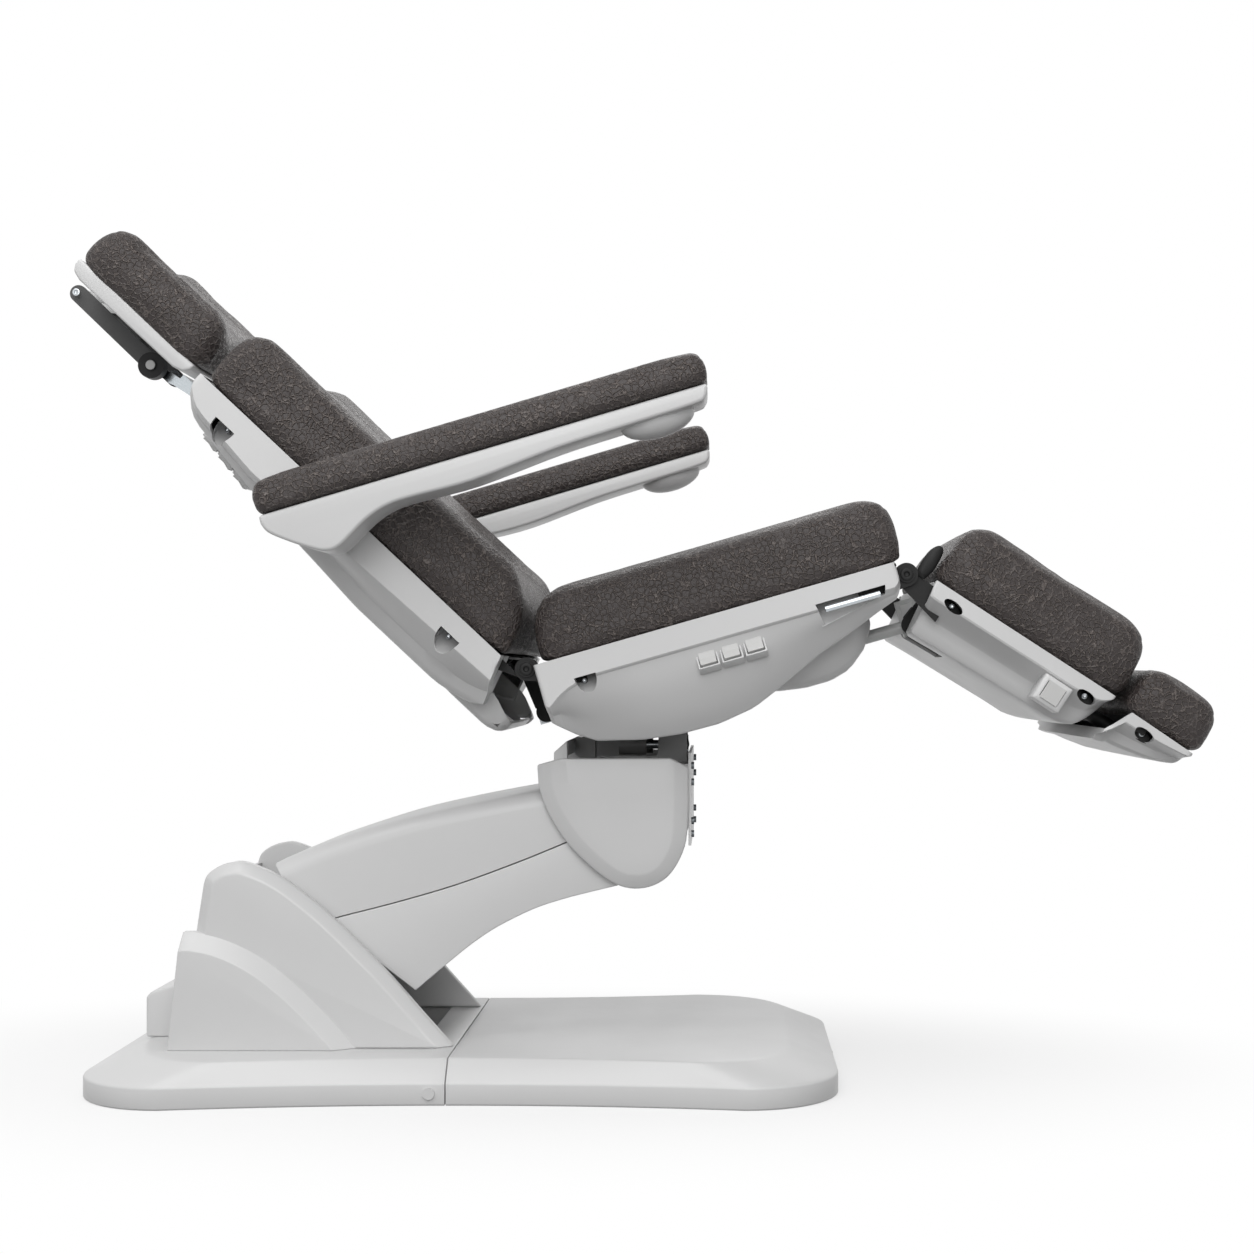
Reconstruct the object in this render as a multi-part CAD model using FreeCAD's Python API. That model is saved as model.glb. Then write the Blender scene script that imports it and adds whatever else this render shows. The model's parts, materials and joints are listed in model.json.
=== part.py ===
"""Electric facial bed: base and tower, lift arm, carriage, seat, back, armrests, headrest, leg and foot rest.

Millimetres, +Z up, +X towards the foot end. The origin is the centre of the base on the floor.
"""
import FreeCAD
import Part
import math
import os

Vector = FreeCAD.Vector

# Shared fits and stock
overrun = 5.0
running_clearance = 0.05
soft_clearance = 0.3
side_clearance = 2.0
cover_wall = 4.0

# Base
base_length = 1050.0
base_end_width = 636.0
base_waist_width = 570.0
base_corner_radius = 130.0
base_side_height = 31.0
base_deck_height = 60.0
base_side_run = 30.0
base_end_run = 70.0
base_seam_x = -12.0
base_plate_thickness = 6.0
base_plate_margin = 22.0
base_rail_width = 40.0
base_rail_spacing = 400.0
cap_radius = 8.0
cap_height = 3.0
cap_setback = 22.0
cap_z = 17.0

# Tower
tower_rear_x = -408.0
tower_length = 393.0
tower_height = 259.0
tower_half_width = 190.0
tower_rim_half_width = 160.0
tower_step_half_width = 208.0
tower_wall = 6.0
tower_outline_shares = [
    (0.0, 0.0), (0.045, 0.62), (0.118, 0.95), (0.245, 1.0), (0.37, 0.93),
    (0.565, 0.70), (0.78, 0.38), (1.0, 0.0),
]
tower_step_shares = [
    (0.0, 0.0), (0.04, 0.60), (0.17, 0.56), (0.33, 0.44), (0.50, 0.24), (0.66, 0.0),
]
tower_rear_wall_shares = [(0.0, 0.0), (0.045, 0.62), (0.10, 0.86)]
tower_plate_thickness = 8.0
tower_plate_half_width = 172.0
tower_plate_shares = [(0.10, 0.0), (0.84, 0.0), (0.52, 0.55), (0.44, 0.82), (0.29, 0.85), (0.19, 0.60)]
tower_tie_x_share = 0.165
tower_tie_low_z = 70.0
tower_tie_height = 130.0
tower_slot_front_share = 0.88
service_box_length = 60.0
service_box_half_width = 100.0
service_box_rear_height = 62.0
service_box_front_height = 76.0
inlet_width = 50.0
inlet_height = 30.0
inlet_depth = 12.0
inlet_proud = 2.0
control_box_length = 180.0
control_box_width = 120.0
control_box_height = 40.0
control_box_x = 260.0

# Lift arm
lift_pivot_x = -250.0
lift_pivot_z = 195.0
lift_arm_length = 517.7
lift_arm_slope = 18.82
lift_pin_radius = 14.0
arm_half_width = 155.0
arm_top_height = 126.5
arm_cover_rear = 16.0
arm_cover_front = 425.0
arm_top_rear_share = 0.957
arm_top_peak_share = 0.29
arm_top_front_share = 0.752
arm_seam_height = 18.0
arm_seam_dip_share = 0.5
arm_seam_rear = 60.0
arm_lower_rear = 150.0
arm_lower_front = 470.0
arm_lower_depth = 114.0
arm_lower_waist_share = 0.667
arm_lower_front_share = 0.53
arm_lower_waist_place_share = 0.32
arm_plate_thickness = 8.0
arm_plate_half_width = 108.0
arm_plate_half_height = 35.0
arm_plate_end = 30.0
arm_web_rear = 80.0
arm_web_front = 240.0
arm_web_height = 108.0
arm_bar_radius = 9.0
arm_upper_bar_place = 150.0
arm_lower_bar_place = 300.0
arm_lower_bar_drop = 22.0

# Parallel link above the arm's axis
link_offset_x = -15.0
link_offset_z = 55.0
link_half_width = 12.0
link_half_height = 12.0
link_eye_radius = 18.0
link_pin_radius = 8.0

# Linear actuators: a rear eye, a gear housing, a motor beside the tube, a rod with a slotted blade
eye_half_width = 9.0
blade_half_width = 6.0
blade_rim = 6.0
lever_gap = 4.0
lever_thickness = 6.0
gear_length_share = 2.2
gear_height_share = 1.15
motor_offset_share = 2.2
motor_length_share = 5.5
motor_radius_share = 0.95
rod_radius_share = 0.45
eye_radius_share = 0.8
gear_start_share = 1.1

lift_actuator_radius = 25.0
lift_actuator_place = 380.0
lift_actuator_length = 230.0
lift_actuator_y = -48.0
lift_lever_length = 80.0
lift_lever_turn = -83.3
lift_rod_inner = 170.0
lift_bore_start = 120.0
lift_slot_down = 4.0
lift_slot_up = 4.0
lift_slot_play = 1.0
lift_actuator_pin_radius = 10.0
actuator_pin_radius = 6.0

# Carriage on the end of the arm
carriage_cover_half_width = 180.0
carriage_cover_rim = 160.0
carriage_cover_wall = 6.0
carriage_cover_length = 213.0
carriage_cover_height = 184.0
carriage_cover_rear_gap = 138.0
carriage_cover_drop = 81.0
carriage_cover_shares = [
    (0.0, 0.95), (0.15, 1.0), (0.93, 1.0), (0.985, 0.93), (1.0, 0.60), (0.97, 0.30), (0.87, 0.08),
    (0.675, 0.0), (0.47, 0.06), (0.23, 0.31), (0.07, 0.58), (0.0, 0.80),
]
carriage_cover_radius = 20.0
carriage_hood_rear = 114.0
carriage_hood_front = 95.0
carriage_hood_low = 108.0
carriage_hood_high = 125.0
carriage_hood_root = 97.0
carriage_plate_rear = 82.0
carriage_plate_front = 75.0
carriage_plate_top = 94.0
carriage_plate_thickness = 10.0
carriage_lug_thickness = 12.0
carriage_lug_radius = 34.0
front_panel_thickness = 4.0
front_panel_drop = 21.0
front_panel_rise = 110.0
front_panel_half_width = 158.0
panel_screw_radius = 5.0
panel_screw_height = 4.0
panel_screw_setback = 16.0
panel_screw_height_shares = [0.12, 0.26, 0.68, 0.86]

# Tilt of the seat on the carriage
tilt_offset_x = 50.6
tilt_offset_z = 184.0
tilt_post_half_width = 70.0
tilt_post_thickness = 10.0
tilt_post_half_length = 22.0
tilt_post_eye_radius = 18.0
tilt_pin_radius = 10.0
tilt_lever_length = 68.0
tilt_lever_turn = 8.0
tilt_lever_half_length = 14.0
tilt_actuator_radius = 15.0
tilt_actuator_reach = 140.0
tilt_actuator_length = 90.0
tilt_rod_inner = 66.0
tilt_bore_start = 40.0
tilt_slot_reach = 2.0
tilt_slot_play = 1.0
tilt_bracket_length = 30.0
tilt_bracket_rise = 10.0
tilt_bracket_overhang = 12.0
tilt_bracket_undercut = 8.0

# Seat, in its own frame: u along the seat from the rear, w square to it, w zero at the cushion's underside
seat_slope = 16.0
seat_length = 535.0
seat_thickness = 100.0
seat_half_width = 305.0
seat_rear_shares = [(0.0215, 0.0), (0.0215, 0.15), (0.026, 0.46), (0.068, 0.88), (0.12, 1.0)]
seat_tilt_u = 168.9
seat_tilt_depth = 95.2
seat_shell_depth = 144.0
seat_shell_half_width = 298.0
seat_shell_low_half_width = 230.0
seat_shell_rim = 30.0
seat_shell_wall = 5.0
seat_shell_shares = [
    (0.016, 0.0), (0.013, -0.52), (0.056, -0.72), (0.20, -0.93), (0.37, -1.0), (0.52, -0.945),
    (0.72, -0.62), (0.94, -0.33), (0.96, -0.19), (0.96, 0.0),
]
seat_belly_half_width = 200.0
seat_belly_shares = [
    (0.50, -0.30), (0.50, -0.93), (0.66, -0.925), (0.74, -0.925), (0.80, -0.87), (0.845, -0.71),
    (0.88, -0.50), (0.88, -0.30),
]
seat_shell_radius = 30.0
seat_tilt_opening_half_width = 88.0
seat_tilt_opening_rear = 12.0
seat_tilt_opening_front = 225.0
seat_back_opening_half_width = 222.0
seat_back_opening_depth = 48.0
seat_back_opening_front = 62.0
seat_leg_opening_half_width = 30.0
seat_leg_opening_length = 130.0
seat_leg_opening_top = 22.0
seat_panel_thickness = 4.0
seat_panel_margin = 2.0
seat_rail_height = 36.0
seat_rail_outer = 230.0
seat_rail_width = 24.0
seat_rail_end = 40.0
seat_lug_thickness = 10.0
seat_lug_half_length = 26.0
seat_actuator_radius = 20.0
seat_actuator_y = 130.0

# Cushions
cushion_tuck_depth = 10.0
cushion_edge_radius = 24.0
cushion_crown_height = 6.0
cushion_valley_depth = 16.0
cushion_end_radius = 30.0
cushion_end_width_share = 0.6

# Hinges between seat, back and leg
hinge_pin_radius = 7.0
hinge_eye_radius = 16.0
hinge_outer_half_width = 262.0
hinge_plate_thickness = 8.0
hinge_plate_gap = 1.0
hinge_pin_proud = 4.0
back_hinge_u = -6.0
back_hinge_w = 0.7
back_hinge_root = 70.0
leg_hinge_setback = 8.0
leg_hinge_depth = 18.0
leg_hinge_root = 70.0

# Back actuator in the seat
back_lever_length = 65.0
back_lever_turn = 20.0
back_actuator_eye_u = 340.0
back_actuator_length = 235.0
back_rod_inner = 160.0
back_bore_start = 50.0
back_slot_up = 16.0
back_slot_down = 5.0
back_slot_play = 2.8

# Leg actuator in the seat
leg_lever_length = 68.0
leg_actuator_eye_u = 190.0
leg_actuator_length = 205.0
leg_rod_inner = 135.0
leg_bore_start = 48.0
leg_slot_up = 25.0
leg_slot_down = 2.5
leg_slot_play = 2.6

# Switches
rocker_pitch = 33.0
rocker_size = 22.0
rocker_depth = 12.0
rocker_proud = 3.0
rocker_clearance = 1.0
rocker_swell = 3.0
rocker_pin_radius = 2.0
bezel_size = 30.0
bezel_height = 8.0
bezel_root = 30.0
seat_rocker_first_u = 235.0
seat_rocker_depth = 52.0
back_rocker_setback = 53.0
back_rocker_y = -190.0
side_rod_radius = 4.0
side_rod_setback = 130.0
side_rod_length = 76.0
side_rod_depth = 30.0
side_rod_stand_off = 12.0
side_rod_foot_share = 0.8

# Back, in its own frame: x runs down the back to the hinge, z square to it towards the sitter
back_slope = -43.2
back_length = 593.0
back_thickness = 100.0
back_half_width = 305.0
back_underside = -9.8
back_foot_shares = [(0.044, 0.0), (0.044, 0.10), (0.066, 0.52), (0.110, 0.82), (0.165, 1.0)]
back_shell_depth = 92.0
back_shell_half_width = 298.0
back_shell_low_half_width = 225.0
back_shell_wall = 5.0
back_shell_shares = [
    (-0.995, 0.0), (-0.987, -0.30), (-0.94, -0.565), (-0.75, -0.75), (-0.587, -0.89), (-0.394, -1.0),
    (-0.16, -1.0), (-0.02, -0.71), (-0.034, -0.43), (-0.056, 0.0),
]
back_belly_half_width = 200.0
back_belly_shares = [
    (-0.24, -0.45), (-0.24, -1.0), (0.03, -0.985), (0.05, -0.94), (0.02, -0.80), (-0.04, -0.45),
]
back_panel_thickness = 4.0
back_panel_top_margin = 10.0
back_panel_foot_margin = 36.0
back_rail_outer = 220.0
back_rail_width = 24.0
back_rail_height = 34.0
back_rail_top_margin = 33.0
back_rail_foot = 60.0
back_lever_half_length = 16.0
back_mouth_margin = 40.0

# Armrests, in their own frame at the pivot on the back
arm_pivot_x = -318.3
arm_pivot_z = -45.1
arm_slope = 16.5
arm_pad_rear = 65.0
arm_pad_length = 613.0
arm_pad_thickness = 47.7
arm_pad_inner = 325.0
arm_pad_width = 105.0
arm_carrier_inset = 8.0
arm_carrier_shares = [
    (-0.10, 1.0), (-0.10, 0.60), (-0.06, -0.30), (-0.016, -0.95), (0.016, -1.27), (0.05, -1.22),
    (0.115, -0.45), (0.17, -0.12), (0.355, -0.15), (0.545, 0.13), (0.845, 0.22), (0.877, 0.46), (0.882, 1.0),
]
arm_carrier_height = 30.0
arm_carrier_radius = 14.0
arm_grip_place = 466.0
arm_grip_half_length = 48.0
arm_grip_depth = 24.0
arm_grip_half_width = 28.0
arm_hub_radius = 28.0
arm_hub_gap = 3.0
arm_spigot_radius = 12.0
arm_spigot_length = 28.0

# Headrest, in the back's frame
head_length = 241.0
head_gap = 34.0
head_half_width = 190.0
head_bottom = -17.8
head_thickness = 82.0
head_tray_thickness = 14.0
head_tray_margin = 12.0
head_knob_setback = 120.0
head_knob_depth = 63.0
head_arm_length = 155.5
head_arm_rise = 2.0
head_bar_half_height = 12.5
head_bar_outer = 58.0
head_bar_thickness = 7.0
head_pin_radius = 5.0
head_lug_outer = 49.0
head_lug_thickness = 6.0
head_lug_radius = 11.0
head_rail_radius = 7.0
head_rail_spacing = 100.0
head_rail_depth = 50.0
head_rail_reach = 153.0
head_block_length = 30.0
head_block_height = 16.0
head_block_setback = 52.0
head_block_margin = 8.0
head_sleeve_radius = 12.0
head_sleeve_length = 110.0
head_sleeve_margin = 58.0
head_cross_radius = 7.0
head_cross_place_share = 0.5
knob_radius = 19.0
knob_width = 20.0
knob_gap = 1.0
knob_hub_radius = 8.0
knob_hub_proud = 3.0

# Leg rest, in its own frame at the leg hinge
leg_slope = -33.0
leg_near = 27.0
leg_length = 311.0
leg_bottom = 12.0
leg_thickness = 106.0
leg_half_width = 290.0
leg_shell_depth = 73.0
leg_shell_half_width = 284.0
leg_shell_low_half_width = 240.0
leg_shell_wall = 5.0
leg_shell_top = 7.0
leg_shell_shares = [
    (0.112, 0.0), (0.154, -0.63), (0.155, -0.836), (0.129, -1.0), (0.488, -0.918), (0.808, -0.89),
    (0.914, -0.726), (0.953, -0.37), (0.964, 0.0),
]
leg_shell_radius = 10.0
leg_notch_half_width = 32.0
leg_notch_front = 120.0
leg_panel_thickness = 4.0
leg_panel_margin = 14.0
leg_lever_half_length = 15.0
leg_button_place = 0.72
leg_button_size = 26.0
leg_button_depth = 14.0
leg_button_proud = 2.0
leg_button_clearance = 0.5
leg_button_drop = 30.0
leg_housing_size = 40.0
leg_housing_proud = 8.0
leg_housing_root = 26.0

# Foot rest, sliding on two rails in the leg rest
foot_gap = 4.0
foot_length = 126.0
foot_thickness = 76.0
foot_bottom = 7.0
foot_half_width = 290.0
foot_travel = 100.0
foot_rail_radius = 10.0
foot_rail_y = 150.0
foot_rail_depth = 14.0
foot_rail_start = 110.0
foot_rail_end_margin = 78.0
foot_sleeve_radius = 15.0
foot_sleeve_start = 140.0
foot_sleeve_length = 120.0
foot_rail_hole_gap = 2.0
foot_shell_wall = 4.0
foot_shell_depth = 44.0
foot_shell_start = 3.0
foot_shell_top = 4.0
foot_shell_half_width = 278.0
foot_shell_shares = [
    (0.0, 0.0), (0.0, -0.95), (0.20, -0.86), (0.60, -0.62), (0.86, -0.28), (0.88, 0.0),
]
foot_bar_length = 24.0
foot_bar_margin = 14.0


# Shape helpers

def line(start, end):
    return Part.LineSegment(start, end).toShape()


def arc(start, middle, end):
    return Part.Arc(start, middle, end).toShape()


def outline(points, place, radius):
    """Closed wire through 2-D points put in space by place, with its corners rounded to a radius."""
    edges = []
    count = len(points)
    ends = []
    for index, corner in enumerate(points):
        before = points[index - 1]
        after = points[(index + 1) % count]
        ends.append(corner_arc(before, corner, after, radius))
    for index, (start, middle, end) in enumerate(ends):
        following = ends[(index + 1) % count][0]
        if middle is not None:
            edges.append(arc(place(*start), place(*middle), place(*end)))
        edges.append(line(place(*end), place(*following)))
    return Part.Wire(edges)


def corner_arc(before, corner, after, radius):
    """Start, middle and end of the arc that rounds one corner; no middle where it is nearly straight."""
    back_step = (before[0] - corner[0], before[1] - corner[1])
    next_step = (after[0] - corner[0], after[1] - corner[1])
    back_length = math.hypot(*back_step)
    next_length = math.hypot(*next_step)
    back_unit = (back_step[0] / back_length, back_step[1] / back_length)
    next_unit = (next_step[0] / next_length, next_step[1] / next_length)
    cosine = max(-1.0, min(1.0, back_unit[0] * next_unit[0] + back_unit[1] * next_unit[1]))
    half_angle = math.acos(cosine) / 2
    if radius == 0 or half_angle > math.radians(86):
        return corner, None, corner
    corner_share = 0.42
    reach = min(radius / math.tan(half_angle), corner_share * back_length, corner_share * next_length)
    fitted = reach * math.tan(half_angle)
    start = (corner[0] + back_unit[0] * reach, corner[1] + back_unit[1] * reach)
    end = (corner[0] + next_unit[0] * reach, corner[1] + next_unit[1] * reach)
    bisector = (back_unit[0] + next_unit[0], back_unit[1] + next_unit[1])
    size = math.hypot(*bisector)
    inward = fitted / math.sin(half_angle) - fitted
    middle = (corner[0] + bisector[0] / size * inward, corner[1] + bisector[1] / size * inward)
    return start, middle, end


def side_prism(points, low_y, high_y, radius=0):
    """Side-view outline in X and Z, extruded across from one width to another."""
    wire = outline(points, lambda x, z: Vector(x, low_y, z), radius)
    return Part.Face(wire).extrude(Vector(0, high_y - low_y, 0))


def end_prism(points, low_x, high_x, radius=0):
    """End-view outline in Y and Z, extruded along X."""
    wire = outline(points, lambda y, z: Vector(low_x, y, z), radius)
    return Part.Face(wire).extrude(Vector(high_x - low_x, 0, 0))


def inset(points, distance):
    """The same outline with every side moved inwards by a distance."""
    area = sum(a[0] * b[1] - b[0] * a[1] for a, b in zip(points, points[1:] + points[:1]))
    turn = 1 if area > 0 else -1
    moved = []
    for index, corner in enumerate(points):
        before = points[index - 1]
        after = points[(index + 1) % len(points)]
        moved.append(inset_corner(before, corner, after, distance * turn))
    return moved


def inset_corner(before, corner, after, distance):
    first = unit_normal(before, corner)
    second = unit_normal(corner, after)
    along = 1 + first[0] * second[0] + first[1] * second[1]
    step = distance / along
    return corner[0] + (first[0] + second[0]) * step, corner[1] + (first[1] + second[1]) * step


def unit_normal(start, end):
    dx, dz = end[0] - start[0], end[1] - start[1]
    size = math.hypot(dx, dz)
    return -dz / size, dx / size


def scaled(shares, length, height, x=0, z=0):
    return [(x + a * length, z + b * height) for a, b in shares]


def box(low_x, high_x, low_y, high_y, low_z, high_z):
    return Part.makeBox(high_x - low_x, high_y - low_y, high_z - low_z, Vector(low_x, low_y, low_z))


def across(x, z, radius, low_y, high_y):
    """Cylinder across the bed."""
    return Part.makeCylinder(radius, high_y - low_y, Vector(x, low_y, z), Vector(0, 1, 0))


def along(low_x, high_x, y, z, radius):
    """Cylinder along X."""
    return Part.makeCylinder(radius, high_x - low_x, Vector(low_x, y, z), Vector(1, 0, 0))


def joined(shapes):
    return shapes[0].fuse(shapes[1:]).removeSplitter()


def mirrored(shape):
    return shape.mirror(Vector(0, 0, 0), Vector(0, 1, 0))


def pair(shape):
    return [shape, mirrored(shape)]


def placed(shape, frame):
    """A shape from a sloped frame, given as its origin in X and Z and its slope, set in the bed's frame."""
    x, z, slope = frame
    moved = shape.copy()
    moved.rotate(Vector(0, 0, 0), Vector(0, 1, 0), -slope)
    moved.translate(Vector(x, 0, z))
    return moved


def point_in(frame, x, z):
    """A point of a sloped frame, in the bed's frame."""
    angle = math.radians(frame[2])
    return (
        frame[0] + x * math.cos(angle) - z * math.sin(angle),
        frame[1] + x * math.sin(angle) + z * math.cos(angle),
    )


def polar(length, degrees):
    return length * math.cos(math.radians(degrees)), length * math.sin(math.radians(degrees))


def eye_plate(root, eye, eye_radius, low_y, high_y):
    """Plate from a root outline to a round eye."""
    plate = side_prism(root, low_y, high_y)
    return joined([plate, across(eye[0], eye[1], eye_radius, low_y, high_y)])


def save(name, shape):
    assert shape.isValid(), name
    shape.exportStep(os.path.join("parts", name + ".step"))
    print(name, len(shape.Solids), round(shape.Volume), len(shape.Faces))


# Frames that follow from the driving dimensions

tower_base_z = base_deck_height
arm_frame_place = (lift_pivot_x, lift_pivot_z, lift_arm_slope)
carriage_x, carriage_z = point_in(arm_frame_place, lift_arm_length, 0)
tilt_x = carriage_x + tilt_offset_x
tilt_z = carriage_z + tilt_offset_z
seat_origin = point_in((tilt_x, tilt_z, seat_slope), -seat_tilt_u, seat_tilt_depth)
seat_frame_place = (seat_origin[0], seat_origin[1], seat_slope)
back_hinge = point_in(seat_frame_place, back_hinge_u, back_hinge_w)
back_frame_place = (back_hinge[0], back_hinge[1], back_slope)
leg_hinge_u = seat_length - leg_hinge_setback
leg_hinge = point_in(seat_frame_place, leg_hinge_u, -leg_hinge_depth)
leg_frame_place = (leg_hinge[0], leg_hinge[1], leg_slope)
arm_pivot = point_in(back_frame_place, arm_pivot_x, arm_pivot_z)
armrest_frame_place = (arm_pivot[0], arm_pivot[1], arm_slope)
link_base = (lift_pivot_x + link_offset_x, lift_pivot_z + link_offset_z)
link_frame_place = (link_base[0], link_base[1], lift_arm_slope)
lift_pin_local = polar(lift_lever_length, lift_lever_turn)
lift_actuator_pin = point_in(arm_frame_place, *lift_pin_local)
head_knob_x = -back_length - head_knob_setback
head_pin_x = head_knob_x - head_arm_length
head_pin_z = -head_knob_depth + head_arm_rise
hinge_inner_high = hinge_outer_half_width - hinge_plate_thickness - hinge_plate_gap
hinge_inner_low = hinge_inner_high - hinge_plate_thickness


# Base

def base_wire(z, side_inset, end_inset):
    """Plan outline of the base: straight ends, round corners and waisted sides."""
    half_length = base_length / 2 - end_inset
    half_end = base_end_width / 2 - side_inset
    half_waist = base_waist_width / 2 - side_inset
    straight = half_length - base_corner_radius
    low = half_end - base_corner_radius
    slant = base_corner_radius * math.sqrt(2) / 2
    edges = []
    for turn in (1, -1):
        end = turn * half_length
        edges.append(line(Vector(end, -turn * low, z), Vector(end, turn * low, z)))
        edges.append(arc(
            Vector(turn * half_length, turn * low, z),
            Vector(turn * (straight + slant), turn * (low + slant), z),
            Vector(turn * straight, turn * half_end, z),
        ))
        edges.append(arc(
            Vector(turn * straight, turn * half_end, z),
            Vector(0, turn * half_waist, z),
            Vector(-turn * straight, turn * half_end, z),
        ))
        edges.append(arc(
            Vector(-turn * straight, turn * half_end, z),
            Vector(-turn * (straight + slant), turn * (low + slant), z),
            Vector(-turn * half_length, turn * low, z),
        ))
    return Part.Wire(edges)


def base_skin():
    """The whole moulded base, hollow and open underneath."""
    outer = Part.makeLoft([
        base_wire(0, 0, 0),
        base_wire(base_side_height, 0, 0),
        base_wire(base_deck_height, base_side_run, base_end_run),
    ], True, True)
    inner = Part.makeLoft([
        base_wire(-overrun, cover_wall, cover_wall),
        base_wire(base_side_height, cover_wall, cover_wall),
        base_wire(base_deck_height - cover_wall, base_side_run, base_end_run),
    ], True, True)
    return outer.cut(inner)


def base_half(front):
    low = base_seam_x if front else -base_length
    high = base_length if front else base_seam_x
    half = box(low, high, -base_length, base_length, -overrun, base_deck_height + overrun)
    return base_skin().common(half)


def tower_slot_front():
    return tower_rear_x + tower_length * tower_slot_front_share


def front_base_cover():
    return base_half(True)


def rear_base_cover():
    slot = box(
        tower_rear_x + tower_wall, tower_slot_front(), -tower_rim_half_width - tower_plate_thickness * 2,
        tower_rim_half_width + tower_plate_thickness * 2, base_deck_height - cover_wall - overrun,
        base_deck_height + overrun,
    )
    return base_half(False).cut(slot)


def base_plate():
    """Steel plate on the floor with two rails that carry the covers' deck."""
    half_length = base_length / 2 - base_plate_margin
    half_width = base_waist_width / 2 - base_plate_margin
    plate = box(-half_length, half_length, -half_width, half_width, 0, base_plate_thickness)
    corner_cut = base_corner_radius / 2
    corners = [edge for edge in plate.Edges if edge.Vertexes[0].Point.z != edge.Vertexes[1].Point.z]
    plate = plate.makeChamfer(corner_cut, corners)
    rail_reach = base_length / 2 - base_end_run - 2 * base_plate_margin
    rail = box(
        -rail_reach, rail_reach, base_rail_spacing / 2, base_rail_spacing / 2 + base_rail_width,
        base_plate_thickness, base_deck_height - cover_wall,
    )
    return joined([plate] + pair(rail))


def base_cover_screws():
    """Round cap on the near side beside the seam and a screw on the foot end."""
    side_y = -base_waist_width / 2 - 2 * soft_clearance
    side = across(base_seam_x - cap_setback, cap_z, cap_radius, side_y - cap_height, side_y)
    end = along(base_length / 2, base_length / 2 + cap_height, 0, cap_z, cap_radius / 2)
    far_side = mirrored(side)
    return Part.makeCompound([side, far_side, end])


def tower_points(shares):
    return scaled(shares, tower_length, tower_height, tower_rear_x, tower_base_z)


def tower_half():
    """Far half of the tower cover: a cheek with a rim, a proud lower step and half of the rear wall."""
    main = tower_points(tower_outline_shares)
    step = tower_points(tower_step_shares)
    outer = joined([
        side_prism(main, tower_rim_half_width, tower_half_width),
        side_prism(step, tower_rim_half_width, tower_step_half_width),
    ])
    inner_main = side_prism(inset(main, tower_wall), 0, tower_half_width - tower_wall)
    inner_step = side_prism(inset(step, tower_wall), 0, tower_step_half_width - tower_wall)
    floor_cut = box(
        tower_rear_x + tower_wall, tower_slot_front(), tower_rim_half_width - overrun,
        tower_half_width - tower_wall, tower_base_z - overrun, tower_base_z + tower_wall * 2,
    )
    rear_line = tower_points(tower_rear_wall_shares)
    rear_wall = side_prism(
        rear_line + [(x + tower_wall, z) for x, z in reversed(rear_line)], 0, tower_rim_half_width + overrun,
    )
    return joined([outer.cut([inner_main, inner_step, floor_cut]), rear_wall])


def tower_frame():
    """Two steel cheeks on the base plate with a tie between them, bored for the three shafts."""
    plate = side_prism(
        scaled(
            tower_plate_shares, tower_length, base_deck_height + tower_height - base_plate_thickness,
            tower_rear_x, base_plate_thickness,
        ),
        tower_plate_half_width - tower_plate_thickness, tower_plate_half_width,
    )
    tie_x = tower_rear_x + tower_length * tower_tie_x_share
    tie = box(
        tie_x, tie_x + tower_plate_thickness, -tower_plate_half_width, tower_plate_half_width,
        tower_tie_low_z, tower_tie_low_z + tower_tie_height,
    )
    foot = box(
        tie_x, tower_slot_front(), -tower_plate_half_width, tower_plate_half_width,
        base_plate_thickness, base_plate_thickness * 2,
    )
    frame = joined(pair(plate) + [tie, foot])
    return frame.cut([shaft_hole(*shaft) for shaft in tower_shafts()])


def tower_shafts():
    """Centre and radius of the lift shaft, the link shaft and the actuator shaft."""
    return [
        (lift_pivot_x, lift_pivot_z, lift_pin_radius),
        (link_base[0], link_base[1], link_pin_radius),
        (lift_actuator_pin[0], lift_actuator_pin[1], lift_actuator_pin_radius),
    ]


def shaft_hole(x, z, radius):
    reach = tower_plate_half_width + overrun
    return across(x, z, radius + running_clearance, -reach, reach)


def tower_pins():
    return Part.makeCompound([
        across(x, z, radius, -tower_plate_half_width, tower_plate_half_width)
        for x, z, radius in tower_shafts()
    ])


def service_box():
    """Box behind the tower for the supply, its top sloped up to the tower."""
    front = tower_rear_x
    rear = front - service_box_length
    floor = base_deck_height
    run_share, rise_share = tower_outline_shares[1]
    slope_x = front + service_box_front_height / tower_height / rise_share * run_share * tower_length
    block = side_prism(
        [(rear, floor), (front, floor), (slope_x, floor + service_box_front_height),
         (rear, floor + service_box_rear_height)],
        -service_box_half_width, service_box_half_width,
    )
    hollow = box(
        rear + cover_wall, front - cover_wall, -service_box_half_width + cover_wall,
        service_box_half_width - cover_wall, floor - overrun, floor + service_box_rear_height - cover_wall,
    )
    return block.cut([hollow, inlet_block(0)])


def inlet_block(proud):
    rear = tower_rear_x - service_box_length
    middle = base_deck_height + service_box_rear_height / 2
    return box(
        rear - proud, rear + inlet_depth, -inlet_width / 2, inlet_width / 2,
        middle - inlet_height / 2, middle + inlet_height / 2,
    )


def power_inlet():
    rear = tower_rear_x - service_box_length
    middle = base_deck_height + service_box_rear_height / 2
    rim_share = 0.32
    recess = box(
        rear - inlet_proud - overrun, rear + inlet_depth / 2,
        -inlet_width * rim_share, inlet_width * rim_share,
        middle - inlet_height * rim_share, middle + inlet_height * rim_share,
    )
    return inlet_block(inlet_proud).cut(recess)


def control_box():
    low = control_box_x - control_box_length / 2
    return box(
        low, low + control_box_length, -control_box_width / 2, control_box_width / 2,
        base_plate_thickness, base_plate_thickness + control_box_height,
    )


# Lift arm

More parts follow.
